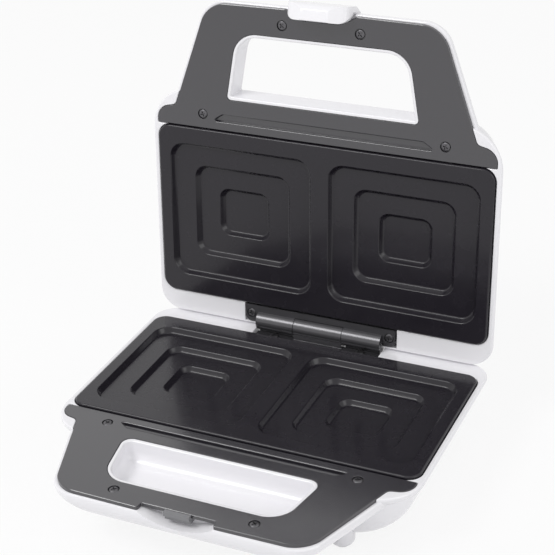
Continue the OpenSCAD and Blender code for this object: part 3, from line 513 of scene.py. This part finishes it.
class Half:
    """Measures of one half, seen from its plate's side"""

    def __init__(self, sizes, lid):
        s = self.sizes = sizes
        self.lid = lid
        self.front = PLATE_Y + (s.lid_reach if lid else s.base_reach)
        self.under = -(s.rim_drop + s.trim)
        self.ledge = -(s.plate_rim + 0.8 * MM)
        self.back = PLATE_Y + 0.6 * MM
        self.neck = (PLATE_X - 13.3 * MM, self.back + 14 * MM)
        # Notch in the trim's front: depth, slant of its side, and radius of its corner
        self.notch = (6 * MM, 11 * MM, 12 * MM) if lid else (5 * MM, 0.5 * MM, 0.8 * MM)
        self.window_corner = (3 if lid else 7) * MM
        self.inner_screw = (PLATE_X - 34 * MM, -(self.back + 10 * MM))
        self.front_screw = ((27 if lid else 46.5) * MM, -(self.front - 11 * MM))

    def side_x(self, y):
        """Side line of the handle at a distance in front of the plate's centre."""
        return self.neck[0] - (y - self.neck[1]) * NOSE_SLOPE

    def trim_outline(self, notch):
        return both_sides([
            (PLATE_X + 0.4 * MM, -self.back, 0.8 * MM),
            (PLATE_X + 0.4 * MM, -self.back - 11 * MM, 9.5 * MM),
            (self.neck[0], -self.neck[1], 4 * MM),
            (self.side_x(self.front), -(self.front - 0.8 * MM), 19 * MM),
            (25 * MM, -self.front, 1.2 * MM),
            (25 * MM - notch[1], -(self.front - notch[0]), notch[2])])

    def window(self, margin=0):
        s = self.sizes
        start = PLATE_Y + s.window_gap + 0.4 * (self.front - PLATE_Y - s.base_reach)
        return grow(both_sides([(PLATE_X - s.arm_rear, -start, self.window_corner),
                                (PLATE_X - s.arm_front, -(self.front - s.bar), 17 * MM)]), margin)

    def tub(self, inset):
        s = self.sizes
        x = PLATE_X + s.case_side - inset
        return box_outline(-x, x, -(PLATE_Y + s.deck_front) + 0.32 * inset,
                           PLATE_Y + s.deck_rear - 0.3 * inset,
                           max(8 * MM, s.rear_radius - 0.2 * inset),
                           max(12 * MM, s.front_radius - 0.3 * inset))

    def tub_sides(self, shrink, count=14):
        """Elliptic sides of the deep part, from under the lip to the bottom."""
        s = self.sizes
        start = s.rim_drop + 6.5 * MM
        height = s.depth - start
        return [(self.tub(s.lip + shrink + (s.side_in - 0.5 * shrink) * (1 - cos(t))),
                 -start - (height - shrink) * sin(t))
                for t in (pi / 2 * i / count for i in range(count + 1))]

    def tub_outer(self):
        s = self.sizes
        lip = [(1.5, 0), (0.85, 0.1), (0.4, 0.35), (0.1, 0.8), (0, 1.4), (0.1, 2.2),
               (0.45, 3.1), (1.3, 4.2), (3.0, 5.5)]
        levels = [(self.tub(inset * MM), -s.rim_drop - drop * MM) for inset, drop in lip]
        levels += self.tub_sides(0)
        if self.lid:
            flat = s.lip + s.side_in
            levels += [(self.tub(flat + CROWN_REACH * k / CROWN_STEPS),
                        -s.depth - s.crown * (1 - (1 - k / CROWN_STEPS) ** 2))
                       for k in range(1, CROWN_STEPS + 1)]
        return loft(levels)

    def grip_outline(self, side, fore):
        return both_sides([
            (self.side_x(self.back) + side, -self.back - 4 * MM, 0.5 * MM),
            (self.side_x(self.front) + side, -(self.front - 0.8 * MM) - fore,
             19 * MM - 0.25 * side)])

    def grip(self, shrink, count=14):
        """Handle half: a small roll under the trim, then round to its underside."""
        s = self.sizes
        roll, side_in, front_in = 5 * MM, 24 * MM, 11 * MM
        height = s.rim_drop + s.grip - roll
        levels = [(self.grip_outline(step * MM - shrink, step * MM - shrink),
                   self.under - drop * MM) for step, drop in ((0.2, 0), (0.85, 0.1), (1.3, 0.4))]
        for t in (pi / 2 * i / count for i in range(count + 1)):
            k = 1 - cos(t)
            levels.append((self.grip_outline(s.bulge - shrink - (side_in - shrink) * k,
                                             s.bulge - shrink - (front_in - shrink) * k),
                           -roll - (height - shrink) * sin(t)))
        return loft(levels)

    def opening(self, z, *steps):
        """Levels of the opening's wall about a height, each step being (margin, rise) in mm."""
        return [(self.window(margin * MM - self.sizes.wall), z + rise * MM)
                for margin, rise in steps]

    def tray_bottom(self, margin, floor, count):
        """Levels of the tray's rounded bottom, up to where its wall stands upright."""
        return [(self.window(margin - TRAY_FILLET * (1 - sin(t))),
                 floor + TRAY_FILLET * (1 - cos(t)))
                for t in (pi / 2 * k / count for k in range(count + 1))]

    def screw_bores(self):
        """Holes of the casing for its trim's screws."""
        radius, top = 1.5 * MM, 1 * MM
        return (rod(radius, -17 * MM, top, either_side(*self.inner_screw)),
                rod(radius, -15 * MM, top, either_side(*self.front_screw)))


def casing(half):
    """Outer shell and its hollow inside, before the openings of one kind of half are cut."""
    s = half.sizes
    wall = half.window(-0.3 * MM)
    body = join(half.tub_outer(), half.grip(0),
                loft([(wall, half.under - 2 * MM), (wall, -s.rim_drop - 0.3 * MM)]))
    inner = loft([(half.tub(s.lip + s.wall), half.ledge)] + half.tub_sides(s.wall))
    under_trim = grow(half.trim_outline((0.2 * MM, 0.5 * MM, 0.8 * MM)), -s.wall)
    join(inner, half.grip(s.wall), loft([(under_trim, half.ledge - 2 * MM),
                                         (under_trim, half.under + 0.01 * MM)], 6))
    column, beam_x, beam_height = 4 * MM, 59 * MM, 13 * MM
    cut(inner, rod(column, -s.depth, half.ledge, either_side(*half.inner_screw)),
        rod(column, -s.rim_drop - s.grip, half.under, either_side(*half.front_screw)),
        block(-beam_x, beam_x, half.back, PLATE_Y + s.deck_rear, half.ledge - beam_height,
              half.ledge))
    return body, inner


def seats(half):
    """Room for the plate and the trim, with a softened upper edge."""
    s = half.sizes
    soft = [(0.8, 10 * MM), (0.45, -s.rim_drop), (0.15, -s.rim_drop - 0.2 * MM),
            (0, -s.rim_drop - 0.55 * MM)]
    margin = 0.6 * MM
    plate = box_outline(-PLATE_X - margin, PLATE_X + margin, -half.back, half.back,
                        s.plate_radius + margin, s.plate_radius + margin)
    face = grow(half.trim_outline((0.2 * MM, 0.5 * MM, 0.8 * MM)), 0.25 * MM)
    seat = loft([(grow(face, m * MM), z) for m, z in soft] + [(face, half.under - 0.05 * MM)])
    cut(seat, loft([(half.window(-0.3 * MM), -10 * MM), (half.window(-0.3 * MM), 12 * MM)]))
    return [loft([(grow(plate, m * MM), z) for m, z in soft] + [(plate, half.ledge)]), seat]


def wall_top(half):
    """Lowers the wall round a handle's opening to just under the trim's face."""
    s = half.sizes
    x = PLATE_X - s.arm_rear + 9 * MM
    top = -s.rim_drop - 0.3 * MM
    edge = box_outline(-x, x, -half.front + s.bar - 8 * MM, -half.back - 12 * MM, 6 * MM, 14 * MM)
    return loft([(edge, top), (edge, 4 * MM)], 4)


def hinge_room(half):
    """Cut-outs of the rear rim round the hinge."""
    s = half.sizes
    shelf = half.ledge - 3.1 * MM
    rear = PLATE_Y + s.deck_rear + 9 * MM
    top = 2 * MM
    knuckle_x, flange_x = 47.3 * MM, 57 * MM
    cuts = [block(-knuckle_x, knuckle_x, PLATE_Y, rear, shelf, top)]
    if half.lid:
        cuts.append(block(-flange_x, flange_x, PLATE_Y, PLATE_Y + 14.5 * MM, shelf, top))
        knuckle = rod(7.6 * MM, -knuckle_x, knuckle_x, [Matrix.Rotation(pi / 2, 4, "Y")])
        knuckle.data.transform(shift(0, PLATE_Y + 12.6 * MM, -2.5 * MM))
        cuts.append(knuckle)
    return cuts


class TOASTER_OT_casings(bpy.types.Operator):
    """Both white casings with their lips, handles, tray or opening, and feet"""
    bl_idname = "toaster.casings"
    bl_label = "Casings"

    def base(self, s):
        half = Half(s, False)
        body, inner = casing(half)
        low = -s.depth - s.foot_height
        r = s.foot_radius
        foot = [(0, low + 1.2 * MM), (r - 2 * MM, low + 1.2 * MM), (r - 1.4 * MM, low + 1.5 * MM),
                (r - 0.5 * MM, low + 2.8 * MM), (r, low + 4.2 * MM), (r, -s.depth + 12 * MM),
                (0, -s.depth + 12 * MM)]
        join(body, spun(foot, foot_places()))
        floor = -s.rim_drop - s.tray
        outer = half.tray_bottom(0, floor - s.wall, 5) + [(half.window(), 2 * MM)]
        scoop = shift(0, 0, SCOOP_RISE)
        front = -(half.front - SCOOP_DEPTH)
        length, sides = 40 * MM, 96
        shell = rod(SCOOP_RADIUS + s.wall, 0, length, [scoop @ lying(front + s.wall)], sides)
        rear = PLATE_Y + s.deck_rear
        boss = rod(7.7 * MM, rear - 9 * MM, rear, [cord_line()])
        cut(inner, loft(outer), shell, boss)
        cut(body, inner, *seats(half), wall_top(half))
        tray = (half.tray_bottom(-s.wall, floor, 8)
                + half.opening(-s.rim_drop, (0, -1), (0.3, -0.55), (0.8, -0.3))
                + half.opening(2 * MM, (1.4, 0)))
        cut(body, loft(tray), rod(SCOOP_RADIUS, 0, length, [scoop @ lying(front)], sides),
            *hinge_room(half),
            rod(s.foot_radius - 2.7 * MM, low, low + 2.4 * MM, foot_places()),
            rod(5.35 * MM, rear - 25 * MM, rear + 5 * MM, [cord_line()]),
            *half.screw_bores())
        dress(body, "base_shell", "base_casing", casing_plastic(), IN_BASE)

    def lid(self, s):
        half = Half(s, True)
        body, inner = casing(half)
        back = -s.rim_drop - s.grip
        x, y, z = CLIP_ROOM_X, -(half.front - CLIP_ROOM_BACK), -CLIP_ROOM_DEPTH
        cut(inner, loft([(half.window(), -s.depth), (half.window(), 2 * MM)]),
            block(-x - s.wall, x + s.wall, -half.front - 5 * MM, y + s.wall, z - s.wall, 2 * MM))
        window = (half.opening(back, (3, -2), (1.1, 0), (0.45, 0.4), (0, 1.4))
                  + half.opening(-s.rim_drop, (0, -1.1), (0.3, -0.6), (0.8, -0.3))
                  + half.opening(2 * MM, (1.4, 0)))
        cut(body, inner, *seats(half), wall_top(half), loft(window),
            block(-x, x, -half.front - 9 * MM, y, z, 2 * MM),
            *hinge_room(half), *half.screw_bores(),
            rod(3.5 * MM, -s.depth - 20 * MM, -s.depth + 8 * MM,
                either_side(LENS_X, -(PLATE_Y - LENS_FRONT))))
        dress(body, "lid_shell", "lid_casing", casing_plastic(), in_lid(s))

    def execute(self, context):
        self.base(context.scene.toaster_sizes)
        self.lid(context.scene.toaster_sizes)
        return {"FINISHED"}


class TOASTER_OT_trims(bpy.types.Operator):
    """Dark handle faces with their openings, channels and sunk screw seats"""
    bl_idname = "toaster.trims"
    bl_label = "Trims"

    def face(self, half):
        s = half.sizes
        top = -s.rim_drop
        outline = half.trim_outline(half.notch)
        body = loft([(outline, half.under)]
                    + edged(outline, top, (0, -0.55), (-0.12, -0.22), (-0.45, 0)))
        y = -(half.back + 6 * MM)
        x = PLATE_X - 41 * MM
        deep = top - 2.6 * MM
        join(body, block(-x - 2 * MM, x + 2 * MM, y - 6.8 * MM, y + 1.6 * MM, deep - 1.2 * MM,
                         top - 0.6 * MM))
        channel = [(x, y, 1.2 * MM), (x - 8 * MM, y - 5.2 * MM, 1.2 * MM),
                   (-x + 8 * MM, y - 5.2 * MM, 1.2 * MM), (-x, y, 1.2 * MM)]
        hole = half.window()
        corners = either_side(*half.inner_screw) + either_side(*half.front_screw)
        r = s.screw_head + 0.4 * MM
        seat = [(0, top - SEAT_DROP), (r, top - SEAT_DROP), (r, top - 0.3 * MM),
                (r + 0.1 * MM, top - 0.12 * MM), (r + 0.35 * MM, top), (r + 0.8 * MM, top + 1 * MM),
                (0, top + 1 * MM)]
        cut(body,
            loft([(hole, -8 * MM)] + edged(hole, top, (0, -0.5), (0.12, -0.2), (0.45, 0))
                 + edged(hole, 1 * MM, (0.9, 0))),
            loft(edged(channel, deep, (-0.6, 0), (-0.25, 0.15), (-0.05, 0.6))
                 + edged(channel, top, (0, -0.9), (0.12, -0.45), (0.4, -0.15), (0.9, 0))
                 + edged(channel, 1 * MM, (1.4, 0)), 6),
            spun(seat, corners), rod(s.screw_shank + 0.2 * MM, -8 * MM, 1 * MM, corners))
        return body

    def execute(self, context):
        sizes = context.scene.toaster_sizes
        dress(self.face(Half(sizes, False)), "base_handle_face", "base_trim", trim_plastic(),
              IN_BASE)
        dress(self.face(Half(sizes, True)), "lid_handle_face", "lid_trim", trim_plastic(),
              in_lid(sizes))
        return {"FINISHED"}


class TOASTER_OT_plates(bpy.types.Operator):
    """Both cooking plates with two stepped pockets each"""
    bl_idname = "toaster.plates"
    bl_label = "Cooking plates"

    def step(self, sizes, i, inset):
        """Outline of a pocket's step, counted from 0 at the rim."""
        s = sizes
        x = (2 * PLATE_X - 2 * s.side_rim - s.divider) / 4 - s.tread_x * i - inset
        y = (2 * PLATE_Y - s.front_rim - s.rear_rim) / 2 - s.tread_y * i - inset
        r = max(1 * MM, s.pocket_radius - 2 * MM * i - inset)
        return box_outline(-x, x, -y, y, r, r)

    def pocket(self, sizes, centre):
        """Rooms of a pocket's three steps, with rounded edges and soft inner corners."""
        s = sizes
        rooms = []
        top = 0
        for i in range(3):
            floor = top - (s.inner_step if i else s.outer_step)
            edge = [(-1.75, 0.45), (-0.95, 0.08), (-0.5, -0.15), (-0.1, -0.5), (0.15, -1.1)]
            foot = [(-0.15, 1.0), (0.2, 0.45), (0.65, 0.12), (1.2, 0)]
            rooms.append(loft(
                [(self.step(s, i, inset * MM), top + rise * MM) for inset, rise in edge]
                + [(self.step(s, i, s.draft + inset * MM), floor + rise * MM)
                   for inset, rise in foot], 8))
            top = floor
        for room in rooms:
            room.data.transform(centre)
        return rooms

    def shell(self, sizes, centre):
        """Metal round the three steps of one pocket."""
        s = sizes
        metal = []
        for i in range(3):
            outline = self.step(s, i, s.draft - 2 * MM)
            floor = -(s.outer_step + s.inner_step * i) - s.pocket_floor
            metal.append(loft([(outline, -s.plate_rim + 1 * MM)]
                              + edged(outline, floor, (0, 0.6), (-0.2, 0.15), (-0.6, 0)), 8))
            metal[-1].data.transform(centre)
        return metal

    def plate(self, sizes):
        s = sizes
        rim = box_outline(-PLATE_X, PLATE_X, -PLATE_Y, PLATE_Y, s.plate_radius, s.plate_radius)
        body = loft([(rim, -s.plate_rim)] + edged(rim, 0, (0, -1.3), (-0.1, -0.75), (-0.4, -0.3),
                                                  (-0.85, -0.06), (-1.3, 0)))
        x = (PLATE_X - s.side_rim + s.divider / 2) / 2
        y = (s.front_rim - s.rear_rim) / 2
        centres = either_side(x, y)
        join(body, *[solid for centre in centres for solid in self.shell(s, centre)])
        stud, end = 2.5 * MM, -18.9 * MM
        join(body, rod(stud, end, -s.plate_rim + 1 * MM,
                       [shift(0, -PLATE_Y / 3), shift(0, PLATE_Y / 3)]),
             rod(stud, end, -13 * MM, centres))
        cut(body, *[room for centre in centres for room in self.pocket(s, centre)])
        return body

    def execute(self, context):
        sizes = context.scene.toaster_sizes
        dress(self.plate(sizes), "base_cooking_plate", "base_plate", plate_coating(), IN_BASE)
        dress(self.plate(sizes), "lid_cooking_plate", "lid_plate", plate_coating(),
              in_lid(sizes))
        return {"FINISHED"}


def screw_set(sizes, places, shank):
    """Pan-head screws with a cross recess, heads seated at z = 0."""
    r, side = sizes.screw_head, sizes.screw_shank - 0.03 * MM
    head = [(0, -shank), (sizes.screw_shank - 0.6 * MM, -shank), (side, -shank + 1.2 * MM),
            (side, 0), (r - 0.1 * MM, 0), (r, 0.1 * MM), (r, 0.55 * MM),
            (r - 0.15 * MM, 0.85 * MM), (r - 0.55 * MM, 1.12 * MM), (r - 1.2 * MM, 1.27 * MM),
            (0.6 * MM, 1.3 * MM), (0, 1.3 * MM)]
    body = spun(head, steps=32)
    for turn in (0, pi / 2):
        slot = block(-1.8 * MM, 1.8 * MM, -0.42 * MM, 0.42 * MM, 0.3 * MM, 2 * MM)
        slot.data.transform(Matrix.Rotation(turn, 4, "Z"))
        cut(body, slot)
    return repeated(body, places)


class TOASTER_OT_screws(bpy.types.Operator):
    """Trim screws and hinge screws"""
    bl_idname = "toaster.screws"
    bl_label = "Screws"

    def execute(self, context):
        sizes = context.scene.toaster_sizes
        seat = -sizes.rim_drop - SEAT_DROP
        for lid in (False, True):
            half = Half(sizes, lid)
            side = "lid" if lid else "base"
            where = in_lid(sizes) if lid else IN_BASE
            places = [shift(sign * x, y, seat) @ Matrix.Rotation(radians(turn * sign), 4, "Z")
                      for (x, y), turn in ((half.inner_screw, 20), (half.front_screw, 50))
                      for sign in (1, -1)]
            dress(screw_set(sizes, places, 11 * MM), f"{side}_face_screws", f"{side}_trim_screws",
                  screw_steel(), where)
        # Place, turn, shank and half of the screws at each bracket
        hinge = {"base": ((32.15 * MM, PLATE_Y + 5.4 * MM, -3.8 * MM), 35, 9 * MM, IN_BASE),
                 "lid": ((51.5 * MM, PLATE_Y + 7.5 * MM, -2 * MM), 15, 12 * MM, in_lid(sizes))}
        for side, ((x, y, z), turn, shank, where) in hinge.items():
            places = [shift(sign * x, y, z) @ Matrix.Rotation(radians(turn * sign), 4, "Z")
                      for sign in (1, -1)]
            dress(screw_set(sizes, places, shank), f"{side}_bracket_screws",
                  f"{side}_hinge_screws", screw_steel(), where)
        return {"FINISHED"}


def softened(node, name, material, edge):
    """Copy of a node's own mesh with its doubles merged and its edges rounded."""
    copy = bpy.data.objects.new(name, frame["nodes"][node].data.copy())
    bpy.context.scene.collection.objects.link(copy)
    bm = bmesh.new()
    bm.from_mesh(copy.data)
    bmesh.ops.remove_doubles(bm, verts=bm.verts, dist=0.005 * MM)
    bmesh.ops.dissolve_limit(bm, angle_limit=radians(1), verts=bm.verts, edges=bm.edges)
    bm.to_mesh(copy.data)
    bm.free()
    dress(copy, name, node, material, edge=edge)


class TOASTER_OT_hinge_and_latch(bpy.types.Operator):
    """Hinge brackets, catch and latch clip with softened edges"""
    bl_idname = "toaster.hinge_and_latch"
    bl_label = "Hinge and latch"

    def execute(self, context):
        softened("hinge_base_bracket", "base_knuckle", hinge_black(), 0.35 * MM)
        softened("hinge_lid_bracket", "lid_knuckles", hinge_black(), 0.35 * MM)
        softened("latch_catch", "catch_block", catch_plastic(), 0.3 * MM)
        softened("latch_clip", "clip", casing_plastic(), 0.5 * MM)
        return {"FINISHED"}


class TOASTER_OT_small_parts(bpy.types.Operator):
    """Foot pads, cord bush and lamp lenses"""
    bl_idname = "toaster.small_parts"
    bl_label = "Small parts"

    def execute(self, context):
        s = context.scene.toaster_sizes
        low = -s.depth - s.foot_height
        r = s.foot_radius - 2.8 * MM
        pad = [(0, 0), (r - 0.5 * MM, 0), (r - 0.15 * MM, 0.12 * MM), (r, 0.5 * MM), (r, 2.4 * MM),
               (0, 2.4 * MM)]
        dress(spun(pad, foot_places(low)), "rubber_pads", "foot_pads", rubber("pad_rubber"),
              IN_BASE)
        bore, out = 3.75 * MM, 1.4 * MM
        bush = [(bore + 0.5 * MM, -9 * MM), (bore + 1.5 * MM, -9 * MM),
                (bore + 1.5 * MM, -0.4 * MM), (bore + 3.4 * MM, -0.4 * MM),
                (bore + 3.4 * MM, out - 0.7 * MM),
                (bore + 3 * MM, out - 0.15 * MM), (bore + 2.3 * MM, out), (bore + 0.8 * MM, out),
                (bore + 0.2 * MM, out - 0.25 * MM), (bore, out - 0.9 * MM), (bore, -8.5 * MM),
                (bore + 0.5 * MM, -9 * MM)]
        dress(spun(bush, [cord_line(PLATE_Y + s.deck_rear)]), "cord_bush", "cord_inlet",
              rubber("inlet_rubber"), IN_BASE)
        top = -s.depth - 0.75 * s.crown
        dome = [(r * MM, z * MM) for r, z in (
            (0, -1.2), (1.2, -1.12), (2.3, -0.85), (3.1, -0.3), (3.47, 0.4), (3.47, 6.05),
            (4.5, 6.05), (4.5, 7.5), (2.4, 7.5), (2.4, 0.6), (0, 0.6))]
        for node, name, side, tone in (("power_lamp_lens", "power_lens", -1, RED),
                                       ("ready_lamp_lens", "ready_lens", 1, GREEN)):
            place = shift(side * LENS_X, -(PLATE_Y - LENS_FRONT), top)
            dress(spun(dome, [place]), name, node, lens_plastic(node, tone), in_lid(s))
        return {"FINISHED"}


class TOASTER_OT_inner_parts(bpy.types.Operator):
    """Finishes of the pieces that keep their own shape"""
    bl_idname = "toaster.inner_parts"
    bl_label = "Inner parts"

    def execute(self, context):
        element = finish("element_steel", colours().element, (0.4, 0.55), (1800, 0.01),
                         (60, 0.25), metal=0.8)
        sheet = bright_steel("sheet_steel")
        pin = bright_steel("pin_steel")
        sleeve = finish("lead_sleeve", (0.5, 0.45, 0.3), (0.6, 0.75), (2500, 0.03), (400, 0.1),
                        stretch=(1, 0.2, 1))
        finishes = {
            "base_heater": element, "lid_heater": element,
            "base_reflector": sheet, "lid_reflector": sheet,
            "base_plate_nuts": sheet, "lid_plate_nuts": sheet,
            "hinge_pin": pin, "latch_pin": pin,
            "base_leads": sleeve, "lid_leads": sleeve,
            "thermostat": finish("thermostat_body", (0.14, 0.09, 0.05), (0.45, 0.6),
                                 (2000, 0.02), (200, 0.15)),
            "thermal_fuse": finish("fuse_sleeve", (0.55, 0.5, 0.36), (0.6, 0.75), (3000, 0.03),
                                   (500, 0.12)),
            "terminal_block": finish("terminal_plastic", (0.7, 0.66, 0.54), (0.35, 0.5),
                                     (1800, 0.015), (100, 0.05)),
            "neon_lamps": finish("lamp_glass", (0.85, 0.6, 0.4), (0.05, 0.12), (900, 0.002),
                                 (300, 0.08), coat=0.5),
        }
        for node, paint in finishes.items():
            thing = frame["nodes"][node]
            if not thing.material_slots:
                thing.data.materials.append(paint)
            for place in thing.material_slots:
                place.material = paint
        return {"FINISHED"}


def seen_rays(nodes, links):
    """Socket that is 1 for camera, glossy and transmission rays, and 0 for all others."""
    ray = nodes.new("ShaderNodeLightPath")
    seen = ray.outputs["Is Camera Ray"]
    for kind in ("Is Glossy Ray", "Is Transmission Ray"):
        either = nodes.new("ShaderNodeMath")
        either.operation = "MAXIMUM"
        links.new(seen, either.inputs[0])
        links.new(ray.outputs[kind], either.inputs[1])
        seen = either.outputs[0]
    return seen


class TOASTER_OT_stage(bpy.types.Operator):
    """Pale floor, soft lamps, white surround and the camera"""
    bl_idname = "toaster.stage"
    bl_label = "Stage"

    def floor(self):
        bm = bmesh.new()
        bmesh.ops.create_grid(bm, x_segments=8, y_segments=8, size=4)
        ground = as_object("floor", bm)
        ground.data.transform(shift(0, 0, -FLOOR_DROP))
        paint = bpy.data.materials.new("studio_floor")
        paint.use_nodes = True
        nodes, links = paint.node_tree.nodes, paint.node_tree.links
        shader = nodes["Principled BSDF"]
        shader.inputs["Base Color"].default_value = (0.86, 0.86, 0.865, 1)
        shader.inputs["Roughness"].default_value = 0.7
        shader.inputs["Specular IOR Level"].default_value = 0.2
        glow = nodes.new("ShaderNodeEmission")
        share = nodes.new("ShaderNodeMath")
        share.operation = "MULTIPLY"
        share.inputs[1].default_value = FLOOR_GLOW
        mix = nodes.new("ShaderNodeMixShader")
        links.new(seen_rays(nodes, links), share.inputs[0])
        links.new(share.outputs[0], mix.inputs["Fac"])
        links.new(shader.outputs["BSDF"], mix.inputs[1])
        links.new(glow.outputs["Emission"], mix.inputs[2])
        links.new(mix.outputs["Shader"], nodes["Material Output"].inputs["Surface"])
        ground.data.materials.append(paint)

    def surround(self, strength):
        world = bpy.data.worlds.new("studio")
        bpy.context.scene.world = world
        world.use_nodes = True
        nodes, links = world.node_tree.nodes, world.node_tree.links
        level = nodes.new("ShaderNodeMapRange")
        level.inputs["To Min"].default_value = strength
        links.new(seen_rays(nodes, links), level.inputs["Value"])
        links.new(level.outputs["Result"], nodes["Background"].inputs["Strength"])
        nodes["Background"].inputs["Color"].default_value = (1, 1, 1, 1)

    def lamp(self, name, place, size, power):
        light = bpy.data.lights.new(name, "AREA")
        light.shape, light.size, light.size_y, light.energy = "RECTANGLE", size[0], size[1], power
        thing = bpy.data.objects.new(name, light)
        aim = LAMP_AIM - Vector(place)
        thing.location = place
        thing.rotation_euler = aim.to_track_quat("-Z", "Y").to_euler()
        bpy.context.scene.collection.objects.link(thing)

    def camera(self, studio):
        turn, tilt, roll = studio.azimuth, studio.elevation, studio.roll
        ahead = Vector((-sin(turn) * cos(tilt), cos(turn) * cos(tilt), -sin(tilt)))
        right = Vector((cos(turn), sin(turn), 0))
        up = right.cross(ahead)
        x = cos(roll) * right + sin(roll) * up
        y = cos(roll) * up - sin(roll) * right
        data = bpy.data.cameras.new("camera")
        data.lens, data.sensor_width, data.sensor_fit = studio.lens, 36, "HORIZONTAL"
        data.clip_start, data.clip_end = 0.01, 20
        thing = bpy.data.objects.new("camera", data)
        axes = Matrix((x, y, -ahead)).transposed().to_4x4()
        thing.matrix_world = Matrix.Translation(studio.camera) @ axes
        bpy.context.scene.collection.objects.link(thing)
        bpy.context.scene.camera = thing

    def execute(self, context):
        studio = context.scene.toaster_studio
        self.floor()
        self.surround(studio.surround)
        self.lamp("key", (-0.75, -0.95, 1.5), (0.9, 0.6), studio.key)
        self.lamp("fill", (1.6, -0.5, 0.9), (1.0, 1.0), studio.fill)
        self.camera(studio)
        context.scene.view_settings.view_transform = "Standard"
        return {"FINISHED"}


BUILDERS = (TOASTER_OT_stage, TOASTER_OT_casings, TOASTER_OT_trims, TOASTER_OT_plates,
            TOASTER_OT_screws, TOASTER_OT_hinge_and_latch, TOASTER_OT_small_parts,
            TOASTER_OT_inner_parts)


class TOASTER_PT_panel(bpy.types.Panel):
    """Buttons and sizes in the sidebar"""
    bl_label = "Sandwich Toaster"
    bl_idname = "TOASTER_PT_panel"
    bl_space_type = "VIEW_3D"
    bl_region_type = "UI"
    bl_category = "Toaster"

    def draw(self, context):
        for builder in BUILDERS:
            self.layout.operator(builder.bl_idname)
        for group in (context.scene.toaster_sizes, context.scene.toaster_colours,
                      context.scene.toaster_studio):
            box = self.layout.box()
            for name in group.__annotations__:
                box.prop(group, name)


GROUPS = {"toaster_sizes": ToasterSizes, "toaster_colours": ToasterColours,
          "toaster_studio": ToasterStudio}


def register():
    for item in (*GROUPS.values(), *BUILDERS, TOASTER_PT_panel):
        bpy.utils.register_class(item)
    for name, group in GROUPS.items():
        setattr(bpy.types.Scene, name, PointerProperty(type=group))


def unregister():
    for name in GROUPS:
        delattr(bpy.types.Scene, name)
    for item in reversed((*GROUPS.values(), *BUILDERS, TOASTER_PT_panel)):
        bpy.utils.unregister_class(item)


def main():
    """Builds every piece and the stage."""
    register()
    for builder in BUILDERS:
        group, action = builder.bl_idname.split(".")
        getattr(getattr(bpy.ops, group), action)()


if __name__ == "__main__":
    main()
